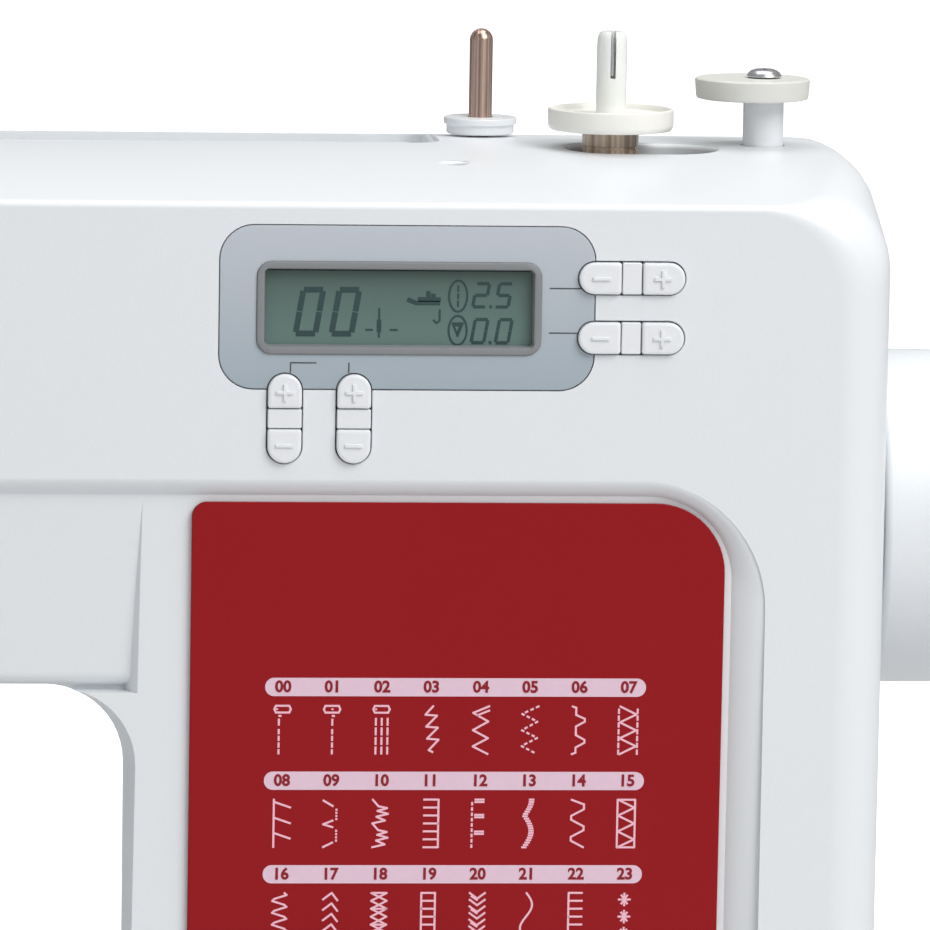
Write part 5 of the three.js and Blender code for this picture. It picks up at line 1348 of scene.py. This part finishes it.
# Radius, depth of the knurl and distance from the side face.
left_half = [(14.0, 0, 0), (14.9, 0.45, 0.6), (14.9, 0.45, 3.2), (14.6, 0, 3.5)]
rings = [knurled(r, d, low.x + x) for r, d, x in left_half]
rings += [knurled(r, d, high.x - x) for r, d, x in reversed(left_half)]
dial = bored(ring_solid("tension_dial_finished", rings), 2.6, low.x - 1, high.x + 1, DIAL["y"],
             DIAL["z"], "x")
fit(dial, dial_tone, "light_grey_plastic", "tension", "tension_dial")
figures = []
for number in range(10):
    angle = math.radians(30 * (number - 4))
    bpy.ops.object.select_all(action="DESELECT")
    out = Vector((0, -math.cos(angle), math.sin(angle)))
    place = (Vector((DIAL["x"], DIAL["y"], DIAL["z"])) + out * 14.57) * MM
    bpy.ops.object.text_add(location=place, rotation=(math.pi / 2 - angle, 0, 0))
    figure = bpy.context.object
    figure.data.body, figure.data.size, figure.data.extrude = str(number), 3.6 * MM, 0.06 * MM
    figure.data.align_x, figure.data.align_y, figure.data.resolution_u = "CENTER", "CENTER", 3
    bpy.ops.object.convert(target="MESH")
    bpy.ops.object.transform_apply(location=True, rotation=True, scale=True)
    figures.append(bpy.context.object)
fit(gather("tension_dial_numbers", figures), print_tone, "light_grey_plastic", "tension")

# %% [markdown]
# ## Working pieces
#
# Levers, bars, foot and plate keep the CAD's shape, because it is already right. Each gets a copy whose
# points are merged and whose hard edges are rounded by a bevel, then a finish with the marks of how it
# is made: turning lines on bars, a brushed grain on the plate, moulded texture on rubber.

# %% Finishes of the working pieces
brushed = Paint("brushed_plate", (0.6, 0.61, 0.62), 0.3, Metallic=1.0)
grain = brushed.noise(1400, 3, (0.03, 1, 1))
brushed.tint(grain, (0.52, 0.53, 0.54), (0.7, 0.71, 0.72))
brushed.set("Roughness", 0.26 + 0.16 * grain)
brushed.bump(grain, 0.00002)
rubber = moulded("soft_rubber", (0.022, 0.022, 0.024), 0.8, grain=0.00008, drift=0.15)
black = moulded("black_plastic_parts", (0.018, 0.018, 0.02), 0.5, grain=0.00005, drift=0.15)
tray_tone = moulded("dark_tray_plastic", (0.1, 0.105, 0.11), 0.55, grain=0.00006, drift=0.08)
clear = Paint("clear_cover", (0.86, 0.9, 0.92), 0.06, Transmission_Weight=0.92, IOR=1.49)
clear.set("Roughness", 0.04 + 0.05 * clear.noise(300, 2))
clear.tint(clear.noise(40, 2), (0.84, 0.88, 0.9), (0.9, 0.93, 0.95))
cast = Paint("cast_aluminium", (0.42, 0.43, 0.44), 0.55, Metallic=0.9)
cast.tint(cast.noise(500, 4), (0.36, 0.37, 0.38), (0.5, 0.51, 0.52))
cast.bump(cast.noise(900, 3), 0.0001)
belt_tone = moulded("belt_rubber_finish", (0.03, 0.03, 0.032), 0.7, grain=0.00006, drift=0.2)
board_tone = Paint("circuit_board_finish", (0.02, 0.14, 0.05), 0.4)
tracks = board_tone.node("ShaderNodeTexBrick", {},
                         {"Vector": board_tone.place, "Scale": 240.0, "Mortar Size": 0.03}, output=1)
board_tone.tint(tracks, (0.02, 0.14, 0.05), (0.05, 0.3, 0.12))

# %% Copies with rounded edges
SLOTS = {steel: "plated_steel", brushed: "plated_steel", black: "black_plastic", clear: "clear_plastic",
         dial_tone: "light_grey_plastic", tray_tone: "dark_plastic", rubber: "rubber"}
# The finish of each node, its body, and the width of its rounded edges.
WORKING = {
    "take_up_lever": (steel, "take_up", 0.25), "needle_bar": (steel, "needle_carrier", 0.2),
    "needle_clamp": (steel, "needle_carrier", 0.25), "needle": (steel, "needle_carrier", 0.05),
    "presser_bar": (steel, "presser", 0.2), "foot_holder": (steel, "presser", 0.25),
    "presser_foot": (steel, "foot_sole", 0.25), "presser_lifter": (black, "lifter", 0.5),
    "needle_plate": (brushed, "machine_body", 0.2), "bobbin_cover": (clear, "bobbin_lid", 0.2),
    "feed_dog": (steel, "feed", 0.12), "rotary_hook": (steel, "hook", 0.2),
    "bobbin_case": (black, "machine_body", 0.2), "bobbin": (clear, "bobbin_reel", 0.2),
    "speed_slider": (dial_tone, "speed", 0.35), "power_inlet": (black, "machine_body", 0.3),
    "power_switch": (black, "switch_rocker", 0.4), "base_tray": (tray_tone, "machine_body", 0.6),
}
for place in ("front_left", "front_right", "rear_left", "rear_right"):
    WORKING[f"foot_{place}"] = (rubber, "machine_body", 0.6)
for node, (finish, body, edge) in WORKING.items():
    fit(refined(node, edge), finish, SLOTS[finish], body, node)

HIDDEN = {"inner_frame": cast, "main_shaft": steel, "lower_shaft": steel, "timing_belt": belt_tone,
          "drive_belt": belt_tone,
          "motor": cast, "motor_pulley": steel, "control_board": board_tone, "needle_bar_frame": cast}
for node, material in HIDDEN.items():
    for place in nodes[node].material_slots:
        place.material = material.material
print("kept as packed:", ", ".join(HIDDEN))
